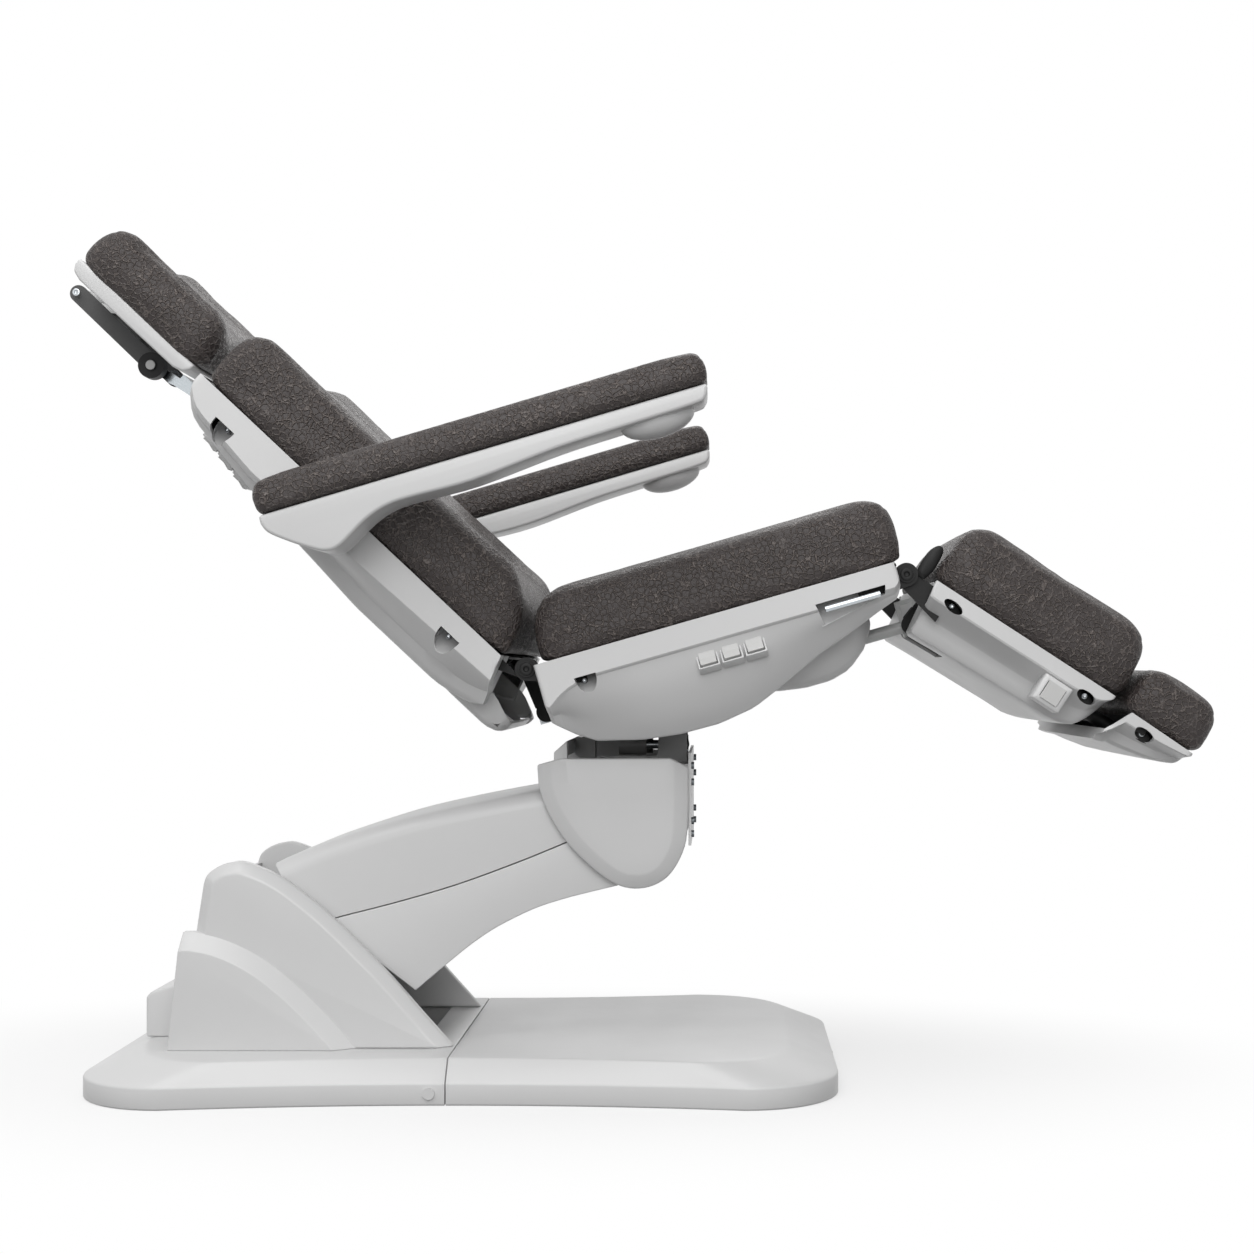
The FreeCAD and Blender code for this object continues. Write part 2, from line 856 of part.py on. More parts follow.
def curve_band(upper, lower, half_width):
    """Solid between two side-view curves, each given as three points on an arc."""
    def put(point):
        return Vector(point[0], -half_width, point[1])
    edges = [
        arc(*[put(point) for point in upper]),
        line(put(upper[2]), put(lower[2])),
        arc(*[put(point) for point in reversed(lower)]),
        line(put(lower[0]), put(upper[0])),
    ]
    return Part.Face(Part.Wire(edges)).extrude(Vector(0, 2 * half_width, 0))


def arm_seam(drop):
    middle = (arm_seam_rear + arm_cover_front) / 2
    return [
        (arm_seam_rear, arm_seam_height - drop),
        (middle, arm_seam_height * arm_seam_dip_share - drop),
        (arm_cover_front, arm_seam_height - drop),
    ]


def arm_top(drop):
    return [
        (arm_cover_rear, arm_top_height * arm_top_rear_share - drop),
        (arm_cover_front * arm_top_peak_share, arm_top_height - drop),
        (arm_cover_front, arm_top_height * arm_top_front_share - drop),
    ]


def arm_upper_cover():
    outer = curve_band(arm_top(0), arm_seam(0), arm_half_width)
    top, seam = lengthened(arm_top(cover_wall)), lengthened(arm_seam(cover_wall))
    inner = curve_band(top, seam, arm_half_width - cover_wall)
    return placed(outer.cut(inner), arm_frame_place)


def lengthened(curve):
    """The same three-point curve run out past both ends, so that the cover it hollows is open there."""
    rear, middle, front = curve
    return [(rear[0] - 2 * overrun, rear[1]), middle, (front[0] + overrun, front[1])]


def arm_bottom(rise):
    reach = arm_lower_front - arm_lower_rear
    return [
        (arm_lower_rear, rise - arm_lower_depth),
        (arm_lower_rear + reach * arm_lower_waist_place_share,
         rise - arm_lower_depth * arm_lower_waist_share),
        (arm_lower_front, rise - arm_lower_depth * arm_lower_front_share),
    ]


def arm_lower_cover():
    outer = curve_band(arm_seam(0), arm_bottom(0), arm_half_width)
    seam, bottom = lengthened(arm_seam(-cover_wall)), lengthened(arm_bottom(cover_wall))
    inner = curve_band(seam, bottom, arm_half_width - cover_wall)
    return placed(outer.cut(inner), arm_frame_place)


def lift_actuator_turn():
    """Slope, in the arm's frame, of the line from the actuator's eye to its shaft."""
    dx = lift_pin_local[0] - lift_actuator_place
    dz = lift_pin_local[1]
    return math.hypot(dx, dz), math.degrees(math.atan2(dz, dx))


def arm_frame():
    """Two side plates with eyes at both ends, cross bars to the covers and the actuator's pin."""
    half = arm_plate_half_height
    shape = [
        (0, -half), (lift_arm_length, -half), (lift_arm_length + arm_plate_end, 0), (lift_arm_length, half),
        (arm_web_front, half), (arm_web_front - half, arm_web_height), (arm_web_rear, arm_web_height),
        (arm_web_rear - half, half), (0, half), (-arm_plate_end, 0),
    ]
    plate = side_prism(shape, arm_plate_half_width - arm_plate_thickness, arm_plate_half_width)
    reach = arm_half_width - cover_wall
    bar_height = arm_web_height - arm_bar_radius
    upper_bar = across(arm_upper_bar_place, bar_height, arm_bar_radius, -reach, reach)
    stub_start = arm_plate_half_width - arm_plate_thickness
    stub = across(arm_lower_bar_place, -arm_lower_bar_drop, arm_bar_radius, stub_start, reach)
    pin = across(lift_actuator_place, 0, actuator_pin_radius, -arm_plate_half_width, arm_plate_half_width)
    frame = joined(pair(plate) + pair(stub) + [upper_bar, pin])
    hole_radius = lift_pin_radius + running_clearance
    holes = [across(x, 0, hole_radius, -arm_half_width, arm_half_width) for x in (0, lift_arm_length)]
    return placed(frame.cut(holes), arm_frame_place)


def parallel_link():
    """Bar that keeps the carriage level, with an eye at each end."""
    bar = box(0, lift_arm_length, -link_half_width, link_half_width, -link_half_height, link_half_height)
    eyes = [
        across(x, 0, link_eye_radius, -link_half_width, link_half_width) for x in (0, lift_arm_length)
    ]
    holes = [
        across(x, 0, link_pin_radius + running_clearance, -arm_half_width, arm_half_width)
        for x in (0, lift_arm_length)
    ]
    return placed(joined([bar] + eyes).cut(holes), link_frame_place)


# Linear actuators, built along +X from the rear eye

def actuator_body(radius, length, bore_start):
    rod_radius = radius * rod_radius_share
    eye_radius = radius * eye_radius_share
    gear_start = radius * gear_start_share
    gear_end = gear_start + radius * gear_length_share
    height = radius * gear_height_share
    motor_y = radius * motor_offset_share
    motor_radius = radius * motor_radius_share
    eye = across(0, 0, eye_radius, -eye_half_width, eye_half_width)
    neck = box(0, gear_start, -eye_half_width, eye_half_width, -eye_radius / 2, eye_radius / 2)
    gear = box(gear_start, gear_end, -radius, motor_y + motor_radius, -height, height)
    tube = along(gear_start, length, 0, 0, radius)
    motor = along(gear_start, gear_start + radius * motor_length_share, motor_y, 0, motor_radius)
    bore = along(bore_start, length + overrun, 0, 0, rod_radius + running_clearance)
    hole = across(0, 0, actuator_pin_radius + running_clearance, -radius, radius)
    return joined([eye, neck, gear, tube, motor]).cut([bore, hole])


def actuator_rod(radius, start, reach, pin_radius, play, slot_up, slot_down):
    """Rod from inside the tube to a blade whose slot, square to the rod, lets the pin swing."""
    rod_radius = radius * rod_radius_share
    half_slot = pin_radius + play
    low = -slot_down - pin_radius
    high = slot_up + pin_radius
    blade = box(
        reach - half_slot - blade_rim, reach + half_slot + blade_rim, -blade_half_width, blade_half_width,
        low - blade_rim, high + blade_rim,
    )
    rod = along(start, reach - half_slot - blade_rim / 2, 0, 0, rod_radius)
    slot = box(reach - half_slot, reach + half_slot, -radius, radius, low, high)
    return joined([rod, blade]).cut(slot)


def lift_actuator_shape(shape):
    """Set a shape built along the actuator into the arm."""
    turn = lift_actuator_turn()[1]
    moved = shape.copy()
    moved.rotate(Vector(0, 0, 0), Vector(0, 1, 0), -turn)
    moved.translate(Vector(lift_actuator_place, lift_actuator_y, 0))
    return placed(moved, arm_frame_place)


def lift_actuator():
    return lift_actuator_shape(actuator_body(lift_actuator_radius, lift_actuator_length, lift_bore_start))


def lift_rod():
    reach = lift_actuator_turn()[0]
    return lift_actuator_shape(actuator_rod(
        lift_actuator_radius, lift_rod_inner, reach, lift_actuator_pin_radius, lift_slot_play,
        lift_slot_up, lift_slot_down,
    ))


# Carriage

def carriage_points(shares):
    return scaled(
        shares, carriage_cover_length, carriage_cover_height,
        carriage_x - carriage_cover_rear_gap, carriage_z - carriage_cover_drop,
    )


def carriage_cover():
    """Far shield cover: a dished side with a rim, and half of the hood over the tilt gear's rear."""
    shape = carriage_points(carriage_cover_shares)
    inner_y = carriage_cover_half_width - carriage_cover_wall
    outer = side_prism(shape, carriage_cover_rim, carriage_cover_half_width, carriage_cover_radius)
    inner = side_prism(
        inset(shape, carriage_cover_wall), carriage_cover_rim - overrun, inner_y,
        carriage_cover_radius - carriage_cover_wall,
    )
    rear, front = carriage_x - carriage_hood_rear, carriage_x - carriage_hood_front
    low, high = carriage_z + carriage_hood_low, carriage_z + carriage_hood_high
    hood = side_prism(
        [(rear, low), (front, high), (front, high + cover_wall), (rear, low + cover_wall)], 0, inner_y,
    )
    flange = side_prism(
        [(rear, carriage_z + carriage_hood_root), (front, carriage_z + carriage_hood_root),
         (front, high + cover_wall), (rear, low + cover_wall)],
        carriage_cover_rim, inner_y,
    )
    return joined([outer.cut(inner), hood, flange])


def carriage_frame():
    """Top plate between the covers, lugs for arm and link, posts for the tilt, and the actuator's bracket."""
    top = carriage_z + carriage_plate_top
    reach = carriage_cover_half_width - carriage_cover_wall
    low = top - carriage_plate_thickness
    rear, front = carriage_x - carriage_plate_rear, carriage_x + carriage_plate_front
    middle = box(rear, front, -front_panel_half_width, front_panel_half_width, low, top)
    plate = middle.fuse(box(rear, front - carriage_cover_radius, -reach, reach, low, top))
    lug_high = arm_plate_half_width - arm_plate_thickness - side_clearance
    lug = eye_plate(
        [(carriage_x - carriage_lug_radius, carriage_z), (carriage_x + carriage_lug_radius, carriage_z),
         (carriage_x + carriage_plate_front, top - carriage_plate_thickness),
         (carriage_x - carriage_plate_rear + overrun, top - carriage_plate_thickness)],
        (carriage_x, carriage_z), carriage_lug_radius, lug_high - carriage_lug_thickness, lug_high,
    )
    post_low = tilt_post_half_width - tilt_post_thickness
    half = tilt_post_half_length
    post = eye_plate(
        [(tilt_x - half, top), (tilt_x + half, top), (tilt_x + tilt_post_eye_radius, tilt_z),
         (tilt_x - tilt_post_eye_radius, tilt_z)],
        (tilt_x, tilt_z), tilt_post_eye_radius, post_low, tilt_post_half_width,
    )
    frame = joined([plate] + pair(lug) + pair(post) + pair(tilt_bracket(top)) + [tilt_bracket_pin()])
    return frame.cut([carriage_hole(*shaft) for shaft in carriage_shafts()])


def tilt_axis_height():
    """Height of the tilt actuator: level with the pin of the seat's lever."""
    return tilt_z - tilt_lever_length * math.cos(math.radians(tilt_lever_turn))


def tilt_eye_x():
    return tilt_x + tilt_lever_length * math.sin(math.radians(tilt_lever_turn)) - tilt_actuator_reach


def tilt_bracket(top):
    x = tilt_eye_x()
    half = tilt_bracket_length / 2
    low_y = eye_half_width + lever_gap / 2
    high = tilt_axis_height() + tilt_bracket_rise
    return side_prism(
        [(x - half + tilt_bracket_overhang, top), (x - half, top + tilt_bracket_undercut), (x - half, high),
         (x + half, high), (x + half, top)],
        low_y, low_y + lever_thickness,
    )


def tilt_bracket_pin():
    reach = eye_half_width + lever_gap / 2 + lever_thickness
    return across(tilt_eye_x(), tilt_axis_height(), actuator_pin_radius, -reach, reach)


def carriage_shafts():
    lug_reach = arm_plate_half_width
    link_reach = arm_plate_half_width - arm_plate_thickness - side_clearance
    seat_reach = tilt_post_half_width + lever_gap + seat_lug_thickness
    return [
        (carriage_x, carriage_z, lift_pin_radius, lug_reach),
        (carriage_x + link_offset_x, carriage_z + link_offset_z, link_pin_radius, link_reach),
        (tilt_x, tilt_z, tilt_pin_radius, seat_reach),
    ]


def carriage_hole(x, z, radius, reach):
    return across(x, z, radius + running_clearance, -reach - overrun, reach + overrun)


def carriage_pins():
    return Part.makeCompound([
        across(x, z, radius, -reach, reach) for x, z, radius, reach in carriage_shafts()
    ])


def front_panel_x():
    return carriage_x + carriage_plate_front


def carriage_front_panel():
    low = carriage_z - front_panel_drop
    return box(
        front_panel_x(), front_panel_x() + front_panel_thickness,
        -front_panel_half_width, front_panel_half_width,
        low, carriage_z + front_panel_rise,
    )


def panel_screws():
    face = front_panel_x() + front_panel_thickness
    low = carriage_z - front_panel_drop
    height = front_panel_drop + front_panel_rise
    y = front_panel_half_width - panel_screw_setback
    heads = []
    for share in panel_screw_height_shares:
        for side in (-y, y):
            z = low + height * share
            heads.append(along(face, face + panel_screw_height, side, z, panel_screw_radius))
    return Part.makeCompound(heads)


def tilt_actuator_shape(shape):
    moved = shape.copy()
    moved.translate(Vector(tilt_eye_x(), 0, tilt_axis_height()))
    return moved


def tilt_actuator():
    return tilt_actuator_shape(actuator_body(tilt_actuator_radius, tilt_actuator_length, tilt_bore_start))


def tilt_rod():
    return tilt_actuator_shape(actuator_rod(
        tilt_actuator_radius, tilt_rod_inner, tilt_actuator_reach, actuator_pin_radius, tilt_slot_play,
        tilt_slot_reach, tilt_slot_reach,
    ))


# Crossed shells: a side view and an end view cut from one another, then hollowed

def crossed(side, ends, half_width, radius):
    """Solid that fills a side-view outline and an end-view outline."""
    low = min(x for x, z in side) - overrun
    high = max(x for x, z in side) + overrun
    return side_prism(side, -half_width, half_width, radius).common(end_prism(ends, low, high))


def flared_ends(half_width, low_half_width, rim, depth, top):
    """End-view outline: upright rim, then sides that draw in towards the bottom."""
    bottom = top - depth - overrun
    return [
        (half_width, top + overrun), (half_width, top - rim), (low_half_width, bottom),
        (-low_half_width, bottom), (-half_width, top - rim), (-half_width, top + overrun),
    ]


def switch_bezel(x, y, z):
    """Square surround standing on a face at z, pointing up, with the rocker's well through it."""
    half = bezel_size / 2
    return box(x - half, x + half, y - half, y + half, z - bezel_root, z + bezel_height)


def switch_well(x, y, z):
    half = rocker_size / 2 + rocker_clearance
    return box(x - half, x + half, y - half, y + half, z + bezel_height - rocker_depth - rocker_swell,
               z + bezel_height + overrun)


def rocker(x, y, z):
    """Rocker paddle with a short pin on each side, on its own axis along Y."""
    half = rocker_size / 2
    top = z + bezel_height + rocker_proud
    low = z + bezel_height - rocker_depth + rocker_clearance
    paddle = side_prism(
        [(x - half, top), (x - half, low), (x + half, low), (x + half, top), (x, top - rocker_swell / 2)],
        y - half, y + half,
    )
    reach = half + rocker_clearance / 2
    return joined([paddle, across(x, (top + low) / 2, rocker_pin_radius, y - reach, y + reach)])


# Seat

def seat_points(shares):
    return scaled(shares, seat_length, seat_shell_depth, 0, -seat_panel_thickness)


def seat_switch_place(index):
    """Turn a switch built pointing up onto the near side of the seat shell."""
    return seat_rocker_first_u + rocker_pitch * index


def on_seat_side(shape, index):
    moved = shape.copy()
    moved.rotate(Vector(0, 0, 0), Vector(0, 0, 1), 90)
    moved.rotate(Vector(0, 0, 0), Vector(1, 0, 0), 90 - seat_flare())
    depth = -seat_panel_thickness - seat_rocker_depth
    moved.translate(Vector(seat_switch_place(index), -seat_side_at(seat_rocker_depth), depth))
    return moved


def seat_flare():
    """Lean of the seat shell's side below its rim, in degrees from upright."""
    run = seat_shell_half_width - seat_shell_low_half_width
    return math.degrees(math.atan2(run, seat_shell_depth + overrun - seat_shell_rim))


def seat_side_at(depth):
    lean = math.tan(math.radians(seat_flare()))
    return seat_shell_half_width - (depth - seat_shell_rim) * lean


def seat_shell():
    wall = seat_shell_wall
    side = seat_points(seat_shell_shares)
    belly = seat_points(seat_belly_shares)
    ends = flared_ends(
        seat_shell_half_width, seat_shell_low_half_width, seat_shell_rim, seat_shell_depth,
        -seat_panel_thickness,
    )
    outer = joined([
        crossed(side, ends, seat_shell_half_width, seat_shell_radius),
        side_prism(belly, -seat_belly_half_width, seat_belly_half_width),
    ])
    inner_half = seat_shell_half_width - wall
    inner_belly = seat_belly_half_width - wall
    inner = joined([
        crossed(inset(side, wall), inset(ends, wall), inner_half, seat_shell_radius - wall),
        side_prism(inset(belly, wall), -inner_belly, inner_belly),
    ])
    bezels = [on_seat_side(switch_bezel(0, 0, 0), index) for index in range(3)]
    bezels = [bezel.cut(inner) for bezel in bezels]
    wells = [on_seat_side(switch_well(0, 0, 0), index) for index in range(3)]
    shell = outer.cut(inner).fuse(bezels)
    return placed(shell.cut(wells + seat_openings()).removeSplitter(), seat_frame_place)


def seat_openings():
    """Top mouth, and the ways for the tilt gear, the back's foot and lever, and the leg's lever."""
    wall = seat_shell_wall
    top = overrun
    low = -seat_shell_depth - seat_panel_thickness - overrun
    ends = [share for share, depth in seat_shell_shares]
    mouth = box(
        min(ends) * seat_length + wall * 2, max(ends) * seat_length - wall,
        -seat_shell_half_width + wall, seat_shell_half_width - wall, -seat_panel_thickness - wall * 2, top,
    )
    tilt = box(
        seat_tilt_opening_rear, seat_tilt_opening_front, -seat_tilt_opening_half_width,
        seat_tilt_opening_half_width, low, -seat_tilt_depth,
    )
    back = box(
        -overrun, seat_back_opening_front, -seat_back_opening_half_width, seat_back_opening_half_width,
        low, -seat_back_opening_depth,
    )
    lever = box(
        -overrun, seat_back_opening_front, seat_actuator_y - seat_leg_opening_half_width,
        seat_actuator_y + seat_leg_opening_half_width, low, -seat_panel_thickness,
    )
    leg = box(
        seat_length - seat_leg_opening_length, seat_length, -seat_actuator_y - seat_leg_opening_half_width,
        -seat_actuator_y + seat_leg_opening_half_width, low, -seat_leg_opening_top,
    )
    return [mouth, tilt, back, lever, leg] + seat_ear_notches()


def seat_ear_notches():
    """Ways through both ends of the shell for the hinge ears."""
    low_y = hinge_inner_low - side_clearance
    high_y = hinge_outer_half_width + side_clearance
    low_w = -seat_panel_thickness - seat_rail_height - side_clearance
    front = leg_hinge_u - 2 * hinge_eye_radius - side_clearance
    rear = back_hinge_u + 2 * hinge_eye_radius + side_clearance
    notches = [
        box(-overrun, rear, low_y, high_y, low_w, overrun),
        box(front, seat_length, low_y, high_y, low_w, overrun),
    ]
    return notches + [mirrored(notch) for notch in notches]


def lever_plates(root, pin, radius, y, pin_radius):
    """Two plates beside a blade, from a root outline to a round end, with the pin across them."""
    low = blade_half_width + lever_gap
    high = low + lever_thickness
    plates = [
        eye_plate(root, pin, radius, y + low, y + high),
        eye_plate(root, pin, radius, y - high, y - low),
    ]
    return plates + [across(pin[0], pin[1], pin_radius, y - high, y + high)]


def tilt_lever_pin():
    """Pin of the tilt lever, in the seat's frame."""
    turn = tilt_lever_turn - 90 - seat_slope
    dx, dz = polar(tilt_lever_length, turn)
    return seat_tilt_u + dx, dz - seat_tilt_depth


def actuator_bracket(eye_u, w, y):
    """Two plates hung from the seat panel beside an actuator's eye, with its pin."""
    low = eye_half_width + lever_gap / 2
    high = low + lever_thickness
    half = seat_actuator_radius * eye_radius_share
    plates = [
        box(eye_u - half, eye_u + half, y + low, y + high, w - half, -seat_panel_thickness),
        box(eye_u - half, eye_u + half, y - high, y - low, w - half, -seat_panel_thickness),
    ]
    return plates + [across(eye_u, w, actuator_pin_radius, y - high, y + high)]


def back_lever_pin():
    """Pin of the back's lever, in the seat's frame at rest."""
    dx, dz = polar(back_lever_length, -90 - back_lever_turn)
    return back_hinge_u + dx, back_hinge_w + dz


def leg_lever_pin():
    """Pin of the leg's lever, in the seat's frame at rest: straight below the hinge."""
    return leg_hinge_u, -leg_hinge_depth - leg_lever_length


def seat_hinge_ears():
    """Outer ears for the back and leg hinges, on both sides."""
    low = hinge_outer_half_width - hinge_plate_thickness
    high = hinge_outer_half_width
    panel = -seat_panel_thickness
    back = eye_plate(
        [(back_hinge_root, panel), (back_hinge_root, panel - seat_rail_height),
         (back_hinge_u, -hinge_eye_radius),
         (back_hinge_u + hinge_eye_radius, panel)],
        (back_hinge_u, back_hinge_w), hinge_eye_radius, low, high,
    )
    rear_leg = leg_hinge_u - leg_hinge_root
    leg = eye_plate(
        [(rear_leg, panel), (seat_panel_end(), panel), (leg_hinge_u, panel - overrun),
         (leg_hinge_u, -leg_hinge_depth - hinge_eye_radius), (rear_leg, panel - seat_rail_height)],
        (leg_hinge_u, -leg_hinge_depth), hinge_eye_radius, low, high,
    )
    return pair(back) + pair(leg)


def seat_panel_end():
    return seat_length * seat_shell_shares[-1][0]


def seat_frame():
    panel_low = -seat_panel_thickness
    panel_end = seat_panel_end()
    panel_start = back_hinge_u + hinge_eye_radius + side_clearance
    half_panel = seat_shell_half_width - seat_panel_margin
    panel = box(panel_start, panel_end, -half_panel, half_panel, panel_low, 0)
    rail = box(
        seat_rail_end, panel_end - seat_rail_end, seat_rail_outer - seat_rail_width, seat_rail_outer,
        panel_low - seat_rail_height, panel_low,
    )
    lug_low = tilt_post_half_width + lever_gap
    half = seat_lug_half_length
    lug = eye_plate(
        [(seat_tilt_u - half, panel_low), (seat_tilt_u + half, panel_low),
         (seat_tilt_u + half, -seat_tilt_depth),
         (seat_tilt_u - half, -seat_tilt_depth)],
        (seat_tilt_u, -seat_tilt_depth), half, lug_low, lug_low + seat_lug_thickness,
    )
    pin = tilt_lever_pin()
    lever = lever_plates(
        [(seat_tilt_u - half, panel_low), (seat_tilt_u + half, panel_low),
         (pin[0] + tilt_lever_half_length, pin[1]), (pin[0] - tilt_lever_half_length, pin[1])],
        pin, tilt_lever_half_length, 0, actuator_pin_radius,
    )
    brackets = actuator_bracket(back_actuator_eye_u, back_lever_pin()[1], seat_actuator_y)
    brackets += actuator_bracket(leg_actuator_eye_u, leg_lever_pin()[1], -seat_actuator_y)
    frame = joined([panel] + pair(rail) + pair(lug) + lever + brackets + seat_hinge_ears())
    return placed(frame.cut(seat_frame_holes()), seat_frame_place)


def seat_frame_holes():
    reach = seat_half_width
    tilt = across(seat_tilt_u, -seat_tilt_depth, tilt_pin_radius + running_clearance, -reach, reach)
    back = across(back_hinge_u, back_hinge_w, hinge_pin_radius + running_clearance, -reach, reach)
    leg = across(leg_hinge_u, -leg_hinge_depth, hinge_pin_radius + running_clearance, -reach, reach)
    return [tilt, back, leg]


def seat_hinge_pins():
    """Four short pins with heads, two for the back and two for the leg."""
    low = hinge_inner_low
    high = hinge_outer_half_width
    pins = []
    for u, w in ((back_hinge_u, back_hinge_w), (leg_hinge_u, -leg_hinge_depth)):
        shank = across(u, w, hinge_pin_radius, low, high)
        head = across(u, w, hinge_eye_radius * motor_radius_share / 2 + hinge_pin_radius / 2, high,
                      high + hinge_pin_proud)
        pins += pair(joined([shank, head]))
    return placed(Part.makeCompound(pins), seat_frame_place)


def seat_side_rod():
    """Chrome rod on the near side, bent into the shell at both ends."""
    y = -seat_shell_half_width - side_rod_stand_off
    w = -seat_panel_thickness - side_rod_depth
    rear = seat_length - side_rod_setback
    front = rear + side_rod_length
    bar = along(rear, front, y, w, side_rod_radius)
    foot_radius = side_rod_radius * side_rod_foot_share
    legs = [
        across(u, w, foot_radius, y, -seat_shell_half_width)
        for u in (rear + 2 * side_rod_radius, front - 2 * side_rod_radius)
    ]
    return placed(joined([bar] + legs), seat_frame_place)


def back_actuator_shape(shape):
    moved = shape.copy()
    moved.rotate(Vector(0, 0, 0), Vector(1, 0, 0), 180)
    moved.rotate(Vector(0, 0, 0), Vector(0, 1, 0), 180)
    moved.translate(Vector(back_actuator_eye_u, seat_actuator_y, back_lever_pin()[1]))
    return placed(moved, seat_frame_place)


def back_actuator():
    body = actuator_body(seat_actuator_radius, back_actuator_length, back_bore_start)
    return back_actuator_shape(mirrored(body))


def back_rod():
    reach = back_actuator_eye_u - back_lever_pin()[0]
    return back_actuator_shape(actuator_rod(
        seat_actuator_radius, back_rod_inner, reach, actuator_pin_radius, back_slot_play,
        back_slot_up, back_slot_down,
    ))


def leg_actuator_shape(shape):
    moved = shape.copy()
    moved.translate(Vector(leg_actuator_eye_u, -seat_actuator_y, leg_lever_pin()[1]))
    return placed(moved, seat_frame_place)


def leg_actuator():
    body = actuator_body(seat_actuator_radius, leg_actuator_length, leg_bore_start)
    return leg_actuator_shape(mirrored(body))


def leg_rod():
    reach = leg_lever_pin()[0] - leg_actuator_eye_u
    return leg_actuator_shape(actuator_rod(
        seat_actuator_radius, leg_rod_inner, reach, actuator_pin_radius, leg_slot_play,
        leg_slot_up, leg_slot_down,
    ))


def seat_rocker(index):
    return placed(on_seat_side(rocker(0, 0, 0), index), seat_frame_place)


# Cushions: lofts through end-view sections with a flat underside, drawn-in sides and a shaped top

def cushion_section(x, centre, half_width, bottom, top, middle_rise):
    """Closed end-view section: underside, bulged sides, round edges, shoulders and the middle of the top."""
    tuck_share = 0.08
    edge_share = 0.3
    shoulder_share = 0.55
    foot = half_width - min(cushion_tuck_depth, half_width * tuck_share)
    edge = min(cushion_edge_radius, (top - bottom) / 3, half_width * edge_share)
    slant = edge * (1 - math.sqrt(2) / 2)

    def put(y, z):
        return Vector(x, centre + y, z)
    right = [
        (put(foot, bottom), put(half_width, (bottom + top - edge) / 2), put(foot, top - edge)),
        (put(foot, top - edge), put(foot - slant, top - slant), put(foot - edge, top)),
        (put(foot - edge, top),
         put((foot - edge + half_width * shoulder_share) / 2, top + max(middle_rise, 0) / 2 + slant / 3),
         put(half_width * shoulder_share, top + middle_rise / 2)),
    ]
    left = [tuple(Vector(p.x, 2 * centre - p.y, p.z) for p in reversed(points)) for points in reversed(right)]
    crest = [(right[-1][-1], put(0, top + middle_rise), left[0][0])]
    edges = [arc(*points) for points in right + crest + left]
    edges.append(line(left[-1][-1], right[0][0]))
    return Part.Wire(edges)


def cushion(low, high, centre, half_width, bottom, top, middle_rise):
    """Pad with softly rounded ends."""
    end = cushion_end_radius
    stations = [(0, 0.9, 0.34), (0.3, 0.97, 0.10), (1.0, 1.0, 0.0)]
    sections = []
    for share, width_share, draw_share in stations:
        sections.append((low + end * share, width_share, draw_share))
    for share, width_share, draw_share in reversed(stations):
        sections.append((high - end * share, width_share, draw_share))
    thickness = top - bottom
    wires = []
    for x, width_share, draw_share in sections:
        half = half_width - min(end, half_width * cushion_end_width_share) * (1 - width_share) * 2
        draw = thickness * draw_share
        rise = middle_rise * (1 - draw_share)
        wires.append(cushion_section(x, centre, half, bottom + draw / 3, top - draw, rise))
    return Part.makeLoft(wires, True, True)


def seat_cushion():
    """Pad whose rear end leans to meet the back cushion."""
    top = seat_thickness - cushion_crown_height
    pad = cushion(0, seat_length, 0, seat_half_width, soft_clearance, top, cushion_crown_height)
    rear_line = scaled(seat_rear_shares, seat_length, seat_thickness)
    high = seat_thickness + overrun
    keep = side_prism(
        [(rear_line[0][0], -overrun)] + rear_line
        + [(rear_line[-1][0], high), (seat_length + overrun, high), (seat_length + overrun, -overrun)],
        -seat_half_width - overrun, seat_half_width + overrun,
    )
    return placed(pad.common(keep), seat_frame_place)


# Back

def back_points(shares):
    return scaled(shares, back_length, back_shell_depth, 0, back_underside - back_panel_thickness)


def back_shell():
    wall = back_shell_wall
    side = back_points(back_shell_shares)
    belly = back_points(back_belly_shares)
    top = back_underside - back_panel_thickness
    ends = flared_ends(
        back_shell_half_width, back_shell_low_half_width, seat_shell_rim, back_shell_depth, top,
    )
    outer = joined([
        crossed(side, ends, back_shell_half_width, seat_shell_radius),
        side_prism(belly, -back_belly_half_width, back_belly_half_width),
    ])
    inner_half = back_shell_half_width - wall
    inner_belly = back_belly_half_width - wall
    foot_end = max(x for x, z in belly)
    inner = joined([
        crossed(inset(side, wall), inset(ends, wall), inner_half, seat_shell_radius - wall),
        side_prism(inset(belly, wall), -inner_belly, inner_belly),
    ])
    bezels = [switch_bezel_back(index).cut(inner) for index in range(3)]
    wells = [on_back_face(switch_well(0, 0, 0), index) for index in range(3)]
    mouth = box(
        -back_length + wall * 3, foot_end, -inner_half, inner_half, top - wall * 2, top + overrun,
    )
    foot = box(
        -back_mouth_margin, foot_end + overrun, -inner_belly, inner_belly,
        top - back_shell_depth + wall * 2, top + overrun,
    )
    holes = [mouth, foot] + back_ear_notches(top) + arm_spigot_holes() + head_rail_holes()
    return placed(outer.cut(inner).fuse(bezels).cut(wells + holes).removeSplitter(), back_frame_place)


def back_ear_notches(top):
    """Ways through the foot of the shell for the hinge ears."""
    notch = box(
        -back_rail_foot, overrun, hinge_inner_low - side_clearance, hinge_inner_high + side_clearance,
        top - back_rail_height - side_clearance, top + overrun,
    )
    return pair(notch)


def arm_spigot_holes():
    reach = back_half_width + overrun
    radius = arm_spigot_radius + side_clearance
    return [across(arm_pivot_x, arm_pivot_z, radius, -reach, reach)]


